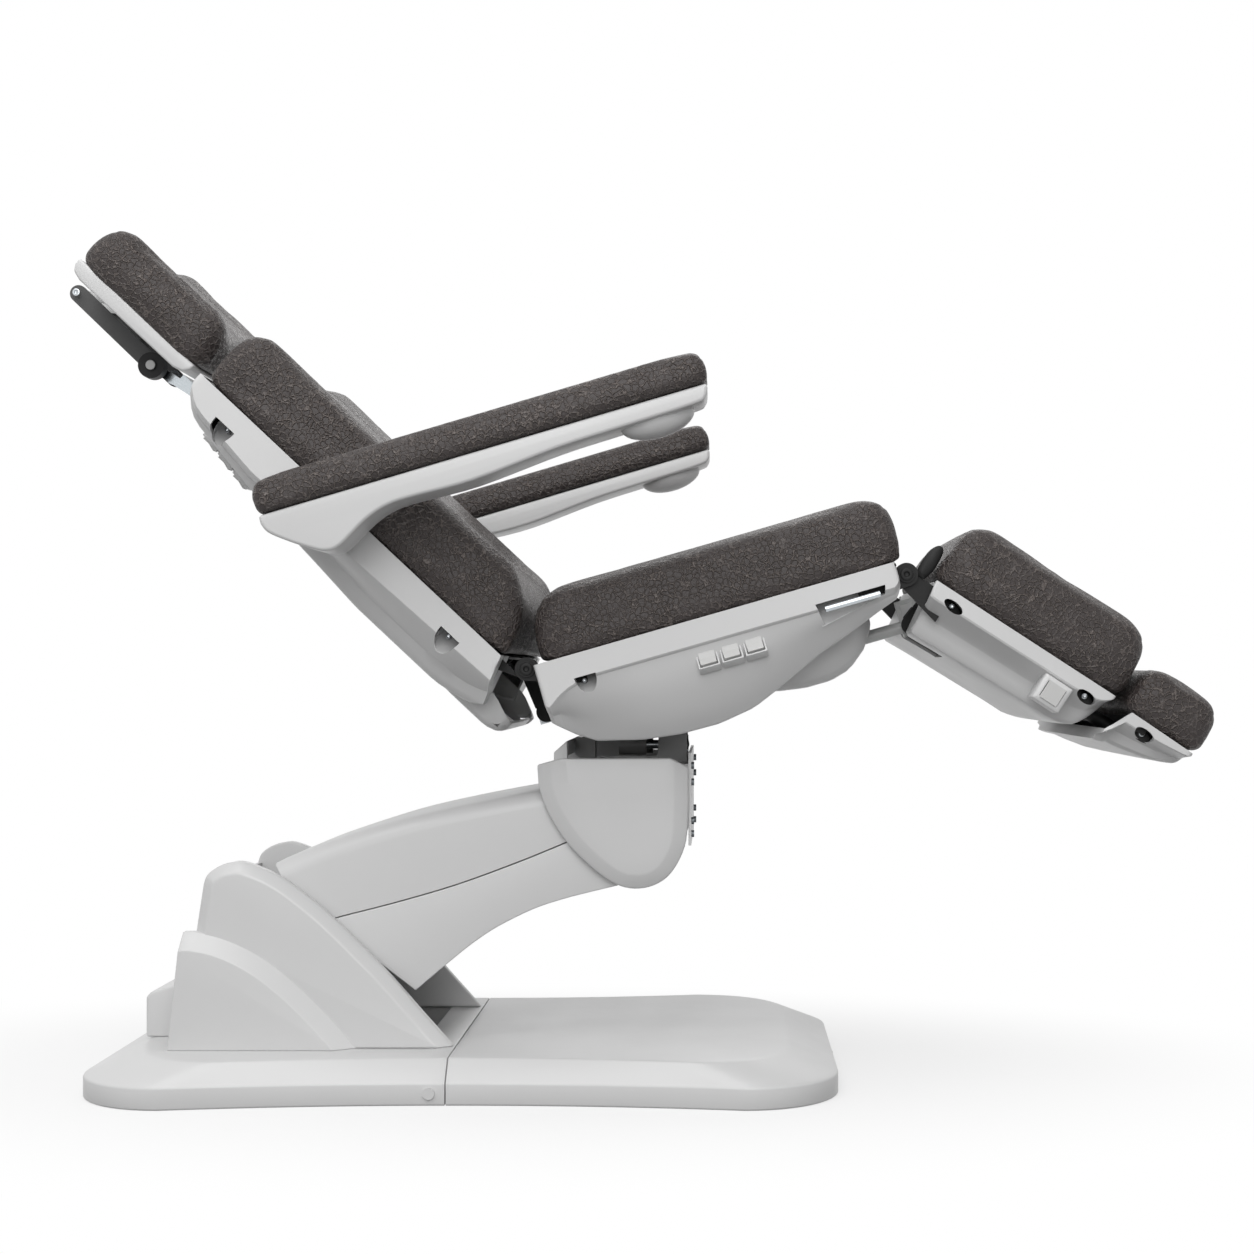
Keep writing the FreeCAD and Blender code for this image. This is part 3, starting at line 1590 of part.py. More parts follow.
def head_rail_holes():
    low = -back_length - overrun
    high = head_sleeve_margin - back_length
    radius = head_rail_radius + side_clearance
    half = head_rail_spacing / 2
    return [along(low, high, y, -head_rail_depth, radius) for y in (-half, half)]


def back_face_slope():
    """Slope, in degrees, of the shell's rear face where the switches sit."""
    first, second = back_points(back_shell_shares)[2:4]
    return math.degrees(math.atan2(second[1] - first[1], second[0] - first[0])), first


def on_back_face(shape, index):
    """Turn a switch built pointing up onto the sloped rear face, near side of the middle."""
    slope, start = back_face_slope()
    moved = shape.copy()
    moved.rotate(Vector(0, 0, 0), Vector(1, 0, 0), 180)
    moved.rotate(Vector(0, 0, 0), Vector(0, 1, 0), -slope)
    step = back_rocker_setback - back_length + rocker_pitch * index
    rise = (step - start[0]) * math.tan(math.radians(slope))
    moved.translate(Vector(step, back_rocker_y, start[1] + rise))
    return moved


def switch_bezel_back(index):
    return on_back_face(switch_bezel(0, 0, 0), index)


def back_rocker(index):
    return placed(on_back_face(rocker(0, 0, 0), index), back_frame_place)


def back_frame():
    """Panel behind the cushion, side rails, hinge ears, lever plates, armrest cross tube and rail sleeves."""
    top = back_underside
    low = top - back_panel_thickness
    half = back_shell_half_width - seat_panel_margin
    panel = box(-back_length + back_panel_top_margin, -back_panel_foot_margin, -half, half, low, top)
    rail = box(
        back_rail_top_margin - back_length, -back_rail_foot,
        back_rail_outer - back_rail_width, back_rail_outer,
        low - back_rail_height, low,
    )
    ear = eye_plate(
        [(-back_rail_foot - hinge_eye_radius, low),
         (-back_rail_foot - hinge_eye_radius, low - back_rail_height),
         (0, -hinge_eye_radius), (-hinge_eye_radius, low)],
        (0, 0), hinge_eye_radius, hinge_inner_low, hinge_inner_high,
    )
    pin = back_lever_local()
    half_lever = back_lever_half_length
    lever = lever_plates(
        [(-back_rail_foot - half_lever, low), (-back_rail_foot + half_lever, low),
         (pin[0] + half_lever / 2, pin[1] + half_lever / 2), (pin[0] - half_lever, pin[1] - half_lever / 2)],
        pin, half_lever, seat_actuator_y, actuator_pin_radius,
    )
    spigot_reach = back_half_width + arm_spigot_length
    spigot = across(arm_pivot_x, arm_pivot_z, arm_spigot_radius, -spigot_reach, spigot_reach)
    sleeves = [head_sleeve(y, low) for y in (-head_rail_spacing / 2, head_rail_spacing / 2)]
    frame = joined([panel] + pair(rail) + pair(ear) + lever + [spigot] + sleeves)
    hole = across(0, 0, hinge_pin_radius + running_clearance, -back_half_width, back_half_width)
    bore_end = head_sleeve_margin + head_sleeve_length - back_length + overrun
    bores = [
        along(-back_length, bore_end, y, -head_rail_depth, head_rail_radius + running_clearance)
        for y in (-head_rail_spacing / 2, head_rail_spacing / 2)
    ]
    return placed(frame.cut([hole] + bores), back_frame_place)


def back_lever_local():
    """The lever's pin in the back's own frame."""
    seat_turn = -90 - back_lever_turn + seat_slope - back_slope
    return polar(back_lever_length, seat_turn)


def head_sleeve(y, low):
    start = head_sleeve_margin - back_length
    tube = along(start, start + head_sleeve_length, y, -head_rail_depth, head_sleeve_radius)
    web = box(
        start, start + head_sleeve_length, y - head_rail_radius, y + head_rail_radius,
        -head_rail_depth, low,
    )
    return joined([tube, web])


def back_cushion():
    """Pad with a dished middle, its foot cut to lie along the seat cushion."""
    bottom = back_underside + soft_clearance
    pad = cushion(
        -back_length, 0, 0, back_half_width, bottom, back_underside + back_thickness, -cushion_valley_depth,
    )
    foot_line = [(-a * back_length, back_underside + b * back_thickness) for a, b in back_foot_shares]
    keep = side_prism(
        [(-back_length - overrun, back_underside - overrun), (foot_line[0][0], back_underside - overrun)]
        + foot_line + [(foot_line[-1][0], back_underside + back_thickness + overrun),
                       (-back_length - overrun, back_underside + back_thickness + overrun)],
        -back_half_width - overrun, back_half_width + overrun,
    )
    return placed(pad.common(keep), back_frame_place)


# Armrests

def armrest_carrier():
    """Far carrier: a deep rail under the pad with its hub and a finger grip."""
    inner = arm_pad_inner + arm_carrier_inset
    outer = arm_pad_inner + arm_pad_width - arm_carrier_inset
    shape = scaled(arm_carrier_shares, arm_pad_length, arm_carrier_height)
    body = side_prism(shape, inner, outer, arm_carrier_radius)
    middle = (inner + outer) / 2
    grip = Part.makeCylinder(
        arm_grip_half_length, 2 * arm_grip_half_width,
        Vector(arm_grip_place, middle - arm_grip_half_width, arm_carrier_height - arm_grip_depth),
        Vector(0, 1, 0),
    )
    low = arm_carrier_height * arm_carrier_shares[-3][1] - arm_grip_depth
    lower_half = box(
        arm_grip_place - arm_grip_half_length, arm_grip_place + arm_grip_half_length, inner, outer,
        low, arm_carrier_height / 2,
    )
    hub_start = back_half_width + arm_hub_gap
    hub = across(0, 0, arm_hub_radius, hub_start, inner + overrun)
    bore_end = back_half_width + arm_spigot_length + running_clearance
    bore = across(0, 0, arm_spigot_radius + running_clearance, 0, bore_end)
    return joined([body, grip.common(lower_half), hub]).cut(bore)


def armrest_pad():
    centre = arm_pad_inner + arm_pad_width / 2
    half = arm_pad_width / 2
    bottom = arm_carrier_height + soft_clearance
    return cushion(
        -arm_pad_rear, arm_pad_length - arm_pad_rear, centre, half, bottom,
        bottom + arm_pad_thickness - cushion_crown_height / 2, cushion_crown_height / 2,
    )


# Headrest

def head_low_x():
    return -back_length - head_gap


def head_slide_bracket():
    """Two rods into the back, a cross block and lugs down to the knob's pivot."""
    block_x = -back_length - head_block_setback
    half = head_rail_spacing / 2
    rod_end = head_rail_reach - back_length
    rods = [along(block_x, rod_end, y, -head_rail_depth, head_rail_radius) for y in (-half, half)]
    reach = half + head_block_margin
    block = box(
        block_x - head_block_length, block_x, -reach, reach,
        -head_rail_depth - head_block_height / 2, -head_rail_depth + head_block_height / 2,
    )
    lug = eye_plate(
        [(block_x - head_block_length, -head_rail_depth), (block_x, -head_rail_depth - head_block_height / 2),
         (head_knob_x + head_lug_radius, -head_knob_depth - head_lug_radius / 2),
         (head_knob_x - head_lug_radius / 2, -head_knob_depth + head_lug_radius / 2)],
        (head_knob_x, -head_knob_depth), head_lug_radius, head_lug_outer - head_lug_thickness, head_lug_outer,
    )
    hole = across(head_knob_x, -head_knob_depth, head_pin_radius + running_clearance, -reach, reach)
    return placed(joined(rods + [block] + pair(lug)).cut(hole), back_frame_place)


def headrest_arm():
    """Two bars joined by a tube, pinned at the knob and carrying the tray's pin at the top."""
    knob = (head_knob_x, -head_knob_depth)
    tip = (head_pin_x, head_pin_z)
    half = head_bar_half_height
    low_y = head_bar_outer - head_bar_thickness
    bar = joined([
        side_prism(
            [(knob[0], knob[1] - half), (knob[0], knob[1] + half),
             (tip[0], tip[1] + half), (tip[0], tip[1] - half)],
            low_y, head_bar_outer,
        ),
        across(knob[0], knob[1], half, low_y, head_bar_outer),
        across(tip[0], tip[1], half, low_y, head_bar_outer),
    ])
    middle_x = knob[0] + (tip[0] - knob[0]) * head_cross_place_share
    middle_z = knob[1] + (tip[1] - knob[1]) * head_cross_place_share
    tube = across(middle_x, middle_z, head_cross_radius, -head_bar_outer, head_bar_outer)
    top_pin = across(tip[0], tip[1], head_pin_radius, -head_bar_outer, head_bar_outer)
    knob_pin = across(
        knob[0], knob[1], head_pin_radius, -head_bar_outer - knob_gap - knob_width / 2, head_bar_outer,
    )
    return placed(joined(pair(bar) + [tube, top_pin, knob_pin]), back_frame_place)


def headrest_knob():
    """Round clamping knob on the near side with a proud hub."""
    bore_share = 0.55
    near = -head_bar_outer - knob_gap
    face = near - knob_width
    body = across(head_knob_x, -head_knob_depth, knob_radius, face, near)
    hub = across(head_knob_x, -head_knob_depth, knob_hub_radius, face - knob_hub_proud, face)
    bore = across(
        head_knob_x, -head_knob_depth, head_pin_radius + running_clearance,
        near - knob_width * bore_share, near + overrun,
    )
    return placed(joined([body, hub]).cut(bore), back_frame_place)


def headrest_tray():
    """Thin tray under the pad with lugs down to the top pin."""
    half = head_half_width - head_tray_margin
    low_x = head_low_x() - head_length + head_tray_margin
    high_x = head_low_x() - head_tray_margin
    tray = box(low_x, high_x, -half, half, head_bottom - head_tray_thickness, head_bottom)
    lug = eye_plate(
        [(low_x, head_bottom - head_tray_thickness),
         (low_x + head_lug_radius * 4, head_bottom - head_tray_thickness),
         (head_pin_x + head_lug_radius, head_pin_z), (head_pin_x - head_lug_radius, head_pin_z)],
        (head_pin_x, head_pin_z), head_lug_radius, head_lug_outer - head_lug_thickness, head_lug_outer,
    )
    hole = across(head_pin_x, head_pin_z, head_pin_radius + running_clearance, -half, half)
    return placed(joined([tray] + pair(lug)).cut(hole), back_frame_place)


def headrest_cushion():
    pad = cushion(
        head_low_x() - head_length, head_low_x(), 0, head_half_width, head_bottom + soft_clearance,
        head_bottom + head_thickness, -cushion_valley_depth,
    )
    return placed(pad, back_frame_place)


# Leg rest

def leg_points(shares):
    return scaled(shares, leg_near + leg_length, leg_shell_depth, 0, leg_shell_top)


def leg_button_centre():
    return leg_near + leg_length * leg_button_place


def leg_side_y():
    return leg_shell_half_width


def leg_shell():
    wall = leg_shell_wall
    side = leg_points(leg_shell_shares)
    ends = flared_ends(
        leg_shell_half_width, leg_shell_low_half_width, leg_shell_rim(), leg_shell_depth, leg_shell_top,
    )
    outer = crossed(side, ends, leg_shell_half_width, leg_shell_radius)
    half = leg_shell_half_width - wall
    inner = crossed(inset(side, wall), inset(ends, wall), half, leg_shell_radius - wall)
    half = leg_shell_half_width - wall
    near = leg_near
    mouth = box(near, leg_end() - wall * 2, -half, half, leg_shell_top - wall * 2, leg_shell_top + overrun)
    hinge_end = box(
        -overrun, near + leg_shell_depth / 2, -half + wall * 2, half - wall * 2,
        leg_shell_top - leg_shell_depth + wall * 2, leg_shell_top + overrun,
    )
    notch = box(
        0, leg_notch_front, -seat_actuator_y - leg_notch_half_width, -seat_actuator_y + leg_notch_half_width,
        -leg_shell_depth * 2, leg_shell_top,
    )
    rails = [
        along(
            near, leg_end() + foot_gap + overrun, y, -foot_rail_depth, foot_rail_radius + foot_rail_hole_gap,
        )
        for y in (-foot_rail_y, foot_rail_y)
    ]
    housing = leg_housing().cut(inner)
    shell = outer.cut(inner).fuse(housing)
    shell = shell.cut([mouth, hinge_end, notch, leg_button_well()] + rails)
    return placed(shell.removeSplitter(), leg_frame_place)


def leg_shell_rim():
    return leg_shell_depth / 3


def leg_end():
    return leg_near + leg_length


def leg_housing():
    """Raised square surround for the button on the near side."""
    half = leg_housing_size / 2
    x = leg_button_centre()
    y = -leg_side_y()
    return box(
        x - half, x + half, y - leg_housing_proud, y + leg_housing_root,
        -leg_button_drop - half, -leg_button_drop + half,
    )


def leg_button_well():
    half = leg_button_size / 2 + leg_button_clearance
    x = leg_button_centre()
    y = -leg_side_y() - leg_housing_proud
    return box(
        x - half, x + half, y - overrun, y + leg_button_depth + overrun,
        -leg_button_drop - half, -leg_button_drop + half,
    )


def leg_button():
    half = leg_button_size / 2
    x = leg_button_centre()
    y = -leg_side_y() - leg_housing_proud
    cap = box(
        x - half, x + half, y - leg_button_proud, y - leg_button_proud + leg_button_depth,
        -leg_button_drop - half, -leg_button_drop + half,
    )
    return placed(cap, leg_frame_place)


def leg_frame():
    """Panel under the pad, hinge ears, lever plates and the sleeves of the foot rails."""
    top = leg_bottom
    low = leg_shell_top
    half = leg_shell_half_width - seat_panel_margin
    panel = box(leg_near + leg_panel_margin, leg_end() - leg_panel_margin, -half, half, low, top)
    ear = eye_plate(
        [(leg_near + leg_panel_margin * 3, low), (leg_near + leg_panel_margin * 3, -hinge_eye_radius * 2),
         (0, -hinge_eye_radius), (hinge_eye_radius / 2, hinge_eye_radius / 2)],
        (0, 0), hinge_eye_radius, hinge_inner_low, hinge_inner_high,
    )
    pin = polar(leg_lever_length, seat_slope - leg_slope - 90)
    half_lever = leg_lever_half_length
    lever = lever_plates(
        [(leg_near + leg_panel_margin, low), (pin[0] + half_lever * 3, low), (pin[0] + half_lever, pin[1]),
         (pin[0] - half_lever, pin[1])],
        pin, half_lever, -seat_actuator_y, actuator_pin_radius,
    )
    sleeves = [foot_sleeve(y, low) for y in (-foot_rail_y, foot_rail_y)]
    frame = joined([panel] + pair(ear) + lever + sleeves)
    hole = across(0, 0, hinge_pin_radius + running_clearance, -leg_half_width, leg_half_width)
    bores = [
        along(0, leg_end(), y, -foot_rail_depth, foot_rail_radius + running_clearance)
        for y in (-foot_rail_y, foot_rail_y)
    ]
    return placed(frame.cut([hole] + bores), leg_frame_place)


def foot_sleeve(y, low):
    start = foot_sleeve_start
    tube = along(start, start + foot_sleeve_length, y, -foot_rail_depth, foot_sleeve_radius)
    web = box(
        start, start + foot_sleeve_length, y - foot_rail_radius, y + foot_rail_radius, -foot_rail_depth, low,
    )
    return joined([tube, web])


def leg_cushion():
    pad = cushion(
        leg_near, leg_end(), 0, leg_half_width, leg_bottom + soft_clearance,
        leg_bottom + leg_thickness - cushion_crown_height, cushion_crown_height,
    )
    return placed(pad, leg_frame_place)


# Foot rest

def foot_start():
    return leg_end() + foot_gap


def foot_rails():
    """Two rails joined by a bar inside the foot shell."""
    bar_x = foot_start() + foot_length - foot_rail_end_margin
    rods = [
        along(foot_rail_start, bar_x, y, -foot_rail_depth, foot_rail_radius)
        for y in (-foot_rail_y, foot_rail_y)
    ]
    reach = foot_shell_half_width - foot_bar_margin
    bar = box(
        bar_x - foot_bar_length, bar_x, -reach, reach, -foot_rail_depth + foot_rail_radius / 2,
        foot_bottom,
    )
    return placed(joined(rods + [bar]), leg_frame_place)


def foot_shell():
    wall = foot_shell_wall
    side = scaled(
        foot_shell_shares, foot_length, foot_shell_depth, foot_start() + foot_shell_start, foot_shell_top,
    )
    outer = side_prism(side, -foot_shell_half_width, foot_shell_half_width)
    half = foot_shell_half_width - wall
    inner = side_prism(inset(side, wall), -half, half)
    mouth = box(
        side[0][0] + wall, side[-1][0] - wall * 2, -half, half,
        foot_shell_top - wall * 2, foot_shell_top + overrun,
    )
    holes = [
        along(
            foot_start(), foot_start() + foot_length / 2, y, -foot_rail_depth,
            foot_rail_radius + running_clearance,
        )
        for y in (-foot_rail_y, foot_rail_y)
    ]
    return placed(outer.cut([inner, mouth] + holes), leg_frame_place)


def foot_cushion():
    pad = cushion(
        foot_start(), foot_start() + foot_length, 0, foot_half_width, foot_bottom + soft_clearance,
        foot_bottom + foot_thickness - cushion_crown_height, cushion_crown_height,
    )
    return placed(pad, leg_frame_place)


# All pieces by name

def base_pieces():
    tower = tower_half()
    return {
        "base_plate": base_plate(),
        "rear_base_cover": rear_base_cover(),
        "front_base_cover": front_base_cover(),
        "tower_cover_near": mirrored(tower),
        "tower_cover_far": tower,
        "tower_frame": tower_frame(),
        "tower_pins": tower_pins(),
        "service_box": service_box(),
        "power_inlet": power_inlet(),
        "control_box": control_box(),
        "base_cover_screws": base_cover_screws(),
    }


def lift_pieces():
    cover = carriage_cover()
    return {
        "arm_frame": arm_frame(),
        "arm_upper_cover": arm_upper_cover(),
        "arm_lower_cover": arm_lower_cover(),
        "lift_actuator": lift_actuator(),
        "lift_rod": lift_rod(),
        "parallel_link": parallel_link(),
        "carriage_frame": carriage_frame(),
        "carriage_cover_near": mirrored(cover),
        "carriage_cover_far": cover,
        "carriage_front_panel": carriage_front_panel(),
        "panel_screws": panel_screws(),
        "carriage_pins": carriage_pins(),
        "tilt_actuator": tilt_actuator(),
        "tilt_rod": tilt_rod(),
    }


def seat_pieces():
    pieces = {
        "seat_frame": seat_frame(),
        "seat_shell": seat_shell(),
        "seat_cushion": seat_cushion(),
        "seat_side_rod": seat_side_rod(),
        "seat_hinge_pins": seat_hinge_pins(),
        "back_actuator": back_actuator(),
        "back_rod": back_rod(),
        "leg_actuator": leg_actuator(),
        "leg_rod": leg_rod(),
    }
    for index in range(3):
        pieces[f"seat_rocker_{index + 1}"] = seat_rocker(index)
    return pieces


def back_pieces():
    carrier = placed(armrest_carrier(), armrest_frame_place)
    pad = placed(armrest_pad(), armrest_frame_place)
    pieces = {
        "back_frame": back_frame(),
        "back_shell": back_shell(),
        "back_cushion": back_cushion(),
        "armrest_carrier_near": mirrored(carrier),
        "armrest_carrier_far": carrier,
        "armrest_pad_near": mirrored(pad),
        "armrest_pad_far": pad,
        "head_slide_bracket": head_slide_bracket(),
        "headrest_arm": headrest_arm(),
        "headrest_knob": headrest_knob(),
        "headrest_tray": headrest_tray(),
        "headrest_cushion": headrest_cushion(),
    }
    for index in range(3):
        pieces[f"back_rocker_{index + 1}"] = back_rocker(index)
    return pieces


def leg_pieces():
    return {
        "leg_frame": leg_frame(),
        "leg_shell": leg_shell(),
        "leg_cushion": leg_cushion(),
        "leg_button": leg_button(),
        "foot_rails": foot_rails(),
        "foot_shell": foot_shell(),
        "foot_cushion": foot_cushion(),
    }


def main():
    os.makedirs("parts", exist_ok=True)
    for group in (base_pieces, lift_pieces, seat_pieces, back_pieces, leg_pieces):
        for name, shape in group().items():
            save(name, shape)


main()
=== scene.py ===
"""Looks of an electric facial bed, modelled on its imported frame."""
import json
import math
from collections import namedtuple

import bmesh
import bpy
from mathutils import Matrix, Vector
from mathutils.bvhtree import BVHTree


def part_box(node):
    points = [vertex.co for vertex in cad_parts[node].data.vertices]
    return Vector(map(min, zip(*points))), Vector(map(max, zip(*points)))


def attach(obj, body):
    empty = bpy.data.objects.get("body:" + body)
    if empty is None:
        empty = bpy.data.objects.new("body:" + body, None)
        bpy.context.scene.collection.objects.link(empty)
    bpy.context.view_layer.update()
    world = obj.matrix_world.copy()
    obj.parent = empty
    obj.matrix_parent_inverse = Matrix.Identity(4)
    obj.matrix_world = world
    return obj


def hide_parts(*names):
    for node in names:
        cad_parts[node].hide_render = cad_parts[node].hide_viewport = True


bl_info = {
    "name": "Facial bed",
    "version": (1, 0, 0),
    "blender": (4, 5, 0),
    "location": "View3D > Sidebar > Bed",
    "description": "Builds the covers, shells, cushions and finishes of an electric facial bed on its frame",
    "category": "Add Mesh",
}

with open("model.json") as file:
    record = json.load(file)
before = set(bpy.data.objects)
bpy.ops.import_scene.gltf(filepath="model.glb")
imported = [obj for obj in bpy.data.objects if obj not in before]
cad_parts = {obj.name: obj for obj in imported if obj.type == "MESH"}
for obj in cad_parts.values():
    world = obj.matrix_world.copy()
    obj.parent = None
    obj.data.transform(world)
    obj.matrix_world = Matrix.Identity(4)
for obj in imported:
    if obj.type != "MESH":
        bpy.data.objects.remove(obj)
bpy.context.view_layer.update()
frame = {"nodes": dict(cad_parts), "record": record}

MM = 0.001


def from_hex(code):
    """Linear colour of an sRGB hex value."""
    parts = [int(code[i:i + 2], 16) / 255 for i in (1, 3, 5)]
    return tuple(p / 12.92 if p <= 0.04045 else ((p + 0.055) / 1.055) ** 2.4 for p in parts)


def slanted(x, z, slope):
    """Place of a tilted group: its origin in the side view, in millimetres, and its slope in degrees."""
    return Matrix.Translation((x * MM, 0, z * MM)) @ Matrix.Rotation(math.radians(-slope), 4, "Y")


# Places of the groups, each with its origin on its own hinge
UPRIGHT = Matrix.Identity(4)
ARM = slanted(-250, 195, 18.82)
SEAT = slanted(102, 591, 16)
BACK = slanted(96.04, 590.02, -43.2)
LEG = slanted(613.5, 718.96, -33)
ARMREST = slanted(-166.8, 775, 16.5)

# Middle of the near arm pad across the bed, the bed's two sides, and half a turn about its length
ARM_MIDDLE = -377.5
SIDES = (-1, 1)
TURNED = Matrix.Rotation(math.radians(180), 4, "X")


# Settings

class BedSizes(bpy.types.PropertyGroup):
    pad_puff: bpy.props.FloatProperty(
        name="Pad swell", description="Furthest that the filling pushes a large pad's cover out",
        default=0.004, min=0.0, max=0.03, unit="LENGTH")
    narrow_puff: bpy.props.FloatProperty(
        name="Arm pad swell", description="Furthest that the filling pushes an arm pad's cover out",
        default=0.003, min=0.0, max=0.02, unit="LENGTH")
    pad_cell: bpy.props.FloatProperty(
        name="Pad cell", description="Mesh size of the pads before they are filled",
        default=0.0072, min=0.004, max=0.02, unit="LENGTH")
    seam_drop: bpy.props.FloatProperty(
        name="Seam drop", description="How far the sewn line lies below a pad's top edge",
        default=0.014, min=0.005, max=0.05, unit="LENGTH")
    edge_radius: bpy.props.FloatProperty(
        name="Cover edge", description="Radius of the moulded covers' edges",
        default=0.004, min=0.001, max=0.01, unit="LENGTH")
    shell_wall: bpy.props.FloatProperty(
        name="Shell wall", description="Wall of the moulded shells under the cushions",
        default=0.004, min=0.002, max=0.006, unit="LENGTH")


class BedColours(bpy.types.PropertyGroup):
    leather: bpy.props.FloatVectorProperty(
        name="Leatherette", description="Upholstery between its creases", subtype="COLOR",
        default=from_hex("#322c2b"), min=0, max=1)
    # Crest colour: a painted highlight, paler than the leather, in place of the light that the grain's crests
    # catch
    crest_highlight: bpy.props.FloatVectorProperty(
        name="Crease", description="Worn crests of the upholstery's grain", subtype="COLOR",
        default=from_hex("#5f5753"), min=0, max=1)
    cover: bpy.props.FloatVectorProperty(
        name="Cover", description="Light grey moulded covers", subtype="COLOR",
        default=from_hex("#cfcfcf"), min=0, max=1)
    switch: bpy.props.FloatVectorProperty(
        name="Switch", description="Switch paddles and button", subtype="COLOR",
        default=from_hex("#c2c2c1"), min=0, max=1)
    black: bpy.props.FloatVectorProperty(
        name="Black frame", description="Powder-coated steel", subtype="COLOR",
        default=from_hex("#161616"), min=0, max=1)


# Finishes

def add_node(tree, kind, settings=None, inputs=None):
    """Add a node with its settings; an input is a value, or a node and the name of its output."""
    node = tree.nodes.new(kind)
    for name, value in (settings or {}).items():
        setattr(node, name, value)
    for name, value in (inputs or {}).items():
        if isinstance(value, tuple) and isinstance(value[0], bpy.types.Node):
            tree.links.new(value[0].outputs[value[1]], node.inputs[name])
        else:
            node.inputs[name].default_value = value
    return node


def new_finish(name, metallic=0.0, roughness=0.5):
    """A material with its nodes, its shader and its coordinates."""
    material = bpy.data.materials.new(name)
    material.use_nodes = True
    tree = material.node_tree
    shader = tree.nodes["Principled BSDF"]
    shader.inputs["Metallic"].default_value = metallic
    shader.inputs["Roughness"].default_value = roughness
    return material, tree, shader, add_node(tree, "ShaderNodeTexCoord")


def leatherette(colours):
    """Polyurethane leather, embossed and crinkled: a dull sheen, fine pebbles, and a painted highlight on the
    crests.
    """
    net_size, pebble_size, cloud_size = 8 * MM, 2.4 * MM, 30 * MM
    drift_size, drift_reach, relief = 8 * MM, 7 * MM, 2.6 * MM
    material, tree, shader, place = new_finish("crinkled_leatherette", 0.0, 0.55)
    shader.inputs["Specular IOR Level"].default_value = 0.4
    drift = add_node(tree, "ShaderNodeTexNoise", None, {
        "Vector": (place, "Object"), "Scale": 1 / drift_size, "Detail": 2.0})
    centred = add_node(tree, "ShaderNodeVectorMath", {"operation": "SUBTRACT"}, {
        0: (drift, "Color"), 1: (0.5, 0.5, 0.5)})
    shift = add_node(tree, "ShaderNodeVectorMath", {"operation": "SCALE"}, {
        0: (centred, "Vector"), "Scale": drift_reach})
    spot = add_node(tree, "ShaderNodeVectorMath", {"operation": "ADD"}, {
        0: (place, "Object"), 1: (shift, "Vector")})
    # Thin crests that meet in a net, drawn a little coarser than they are so that they show
    net = add_node(tree, "ShaderNodeTexVoronoi", {"feature": "DISTANCE_TO_EDGE"}, {
        "Vector": (spot, "Vector"), "Scale": 1 / net_size})
    crest = add_node(tree, "ShaderNodeMapRange", {"interpolation_type": "SMOOTHSTEP"}, {
        "Value": (net, "Distance"), "From Min": 0.0, "From Max": 0.17, "To Min": 1.0, "To Max": 0.0})
    # Patches where the crests stand out more or less, in relief and in their painted highlight
    cloud = add_node(tree, "ShaderNodeTexNoise", None, {
        "Vector": (place, "Object"), "Scale": 1 / cloud_size, "Detail": 3.0})
    patch = add_node(tree, "ShaderNodeMapRange", None, {
        "Value": (cloud, "Fac"), "From Min": 0.36, "From Max": 0.64, "To Min": 0.3, "To Max": 1.0})
    crest_relief_and_highlight = add_node(tree, "ShaderNodeMath", {"operation": "MULTIPLY"}, {
        0: (crest, "Result"), 1: (patch, "Result")})
    # Painted highlight: the crests take the paler crest colour in place of the light that they catch
    tint = add_node(tree, "ShaderNodeMix", {"data_type": "RGBA"}, {
        0: (crest_relief_and_highlight, "Value"), 6: (*colours.leather, 1), 7: (*colours.crest_highlight, 1)})
    gloss = add_node(tree, "ShaderNodeMapRange", None, {
        "Value": (crest_relief_and_highlight, "Value"), "To Min": 0.5, "To Max": 0.3})
    fine = add_node(tree, "ShaderNodeTexNoise", None, {
        "Vector": (place, "Object"), "Scale": 1 / pebble_size, "Detail": 1.0})
    height = add_node(tree, "ShaderNodeMath", {"operation": "MULTIPLY_ADD"}, {
        0: (fine, "Fac"), 1: 0.25, 2: (crest_relief_and_highlight, "Value")})
    bump = add_node(tree, "ShaderNodeBump", None, {
        "Height": (height, "Value"), "Strength": 1.0, "Distance": relief})
    tree.links.new(tint.outputs[2], shader.inputs["Base Color"])
    tree.links.new(gloss.outputs["Result"], shader.inputs["Roughness"])
    tree.links.new(bump.outputs["Normal"], shader.inputs["Normal"])
    return material


def mottled(name, colour, metallic=0.0, roughness=0.5, grit=1.0, depth=0.05, variation=0.06):
    """One colour with faint handling marks and a fine surface grit, whose size is given in millimetres."""
    smear_size, relief = 85 * MM, 0.3 * MM
    material, tree, shader, place = new_finish(name, metallic, roughness)
    # Black coats would look grey under full gloss
    shader.inputs["Specular IOR Level"].default_value = 0.5 if max(colour) > 0.1 else 0.25
    smear = add_node(tree, "ShaderNodeTexNoise", None, {
        "Vector": (place, "Object"), "Scale": 1 / smear_size, "Detail": 4.0, "Roughness": 0.6})
    fine = add_node(tree, "ShaderNodeTexNoise", None, {
        "Vector": (place, "Object"), "Scale": 1 / (grit * MM), "Detail": 2.0})
    tint = add_node(tree, "ShaderNodeMix", {"data_type": "RGBA"}, {
        0: (smear, "Fac"), 6: (*[c * (1 - variation) for c in colour], 1),
        7: (*[min(1, c * (1 + variation)) for c in colour], 1)})
    gloss = add_node(tree, "ShaderNodeMapRange", None, {
        "Value": (smear, "Fac"), "From Min": 0.3, "From Max": 0.7,
        "To Min": roughness * 0.85, "To Max": roughness * 1.15})
    bump = add_node(tree, "ShaderNodeBump", None, {
        "Height": (fine, "Fac"), "Strength": depth, "Distance": relief})
    tree.links.new(tint.outputs[2], shader.inputs["Base Color"])
    tree.links.new(gloss.outputs["Result"], shader.inputs["Roughness"])
    tree.links.new(bump.outputs["Normal"], shader.inputs["Normal"])
    return material


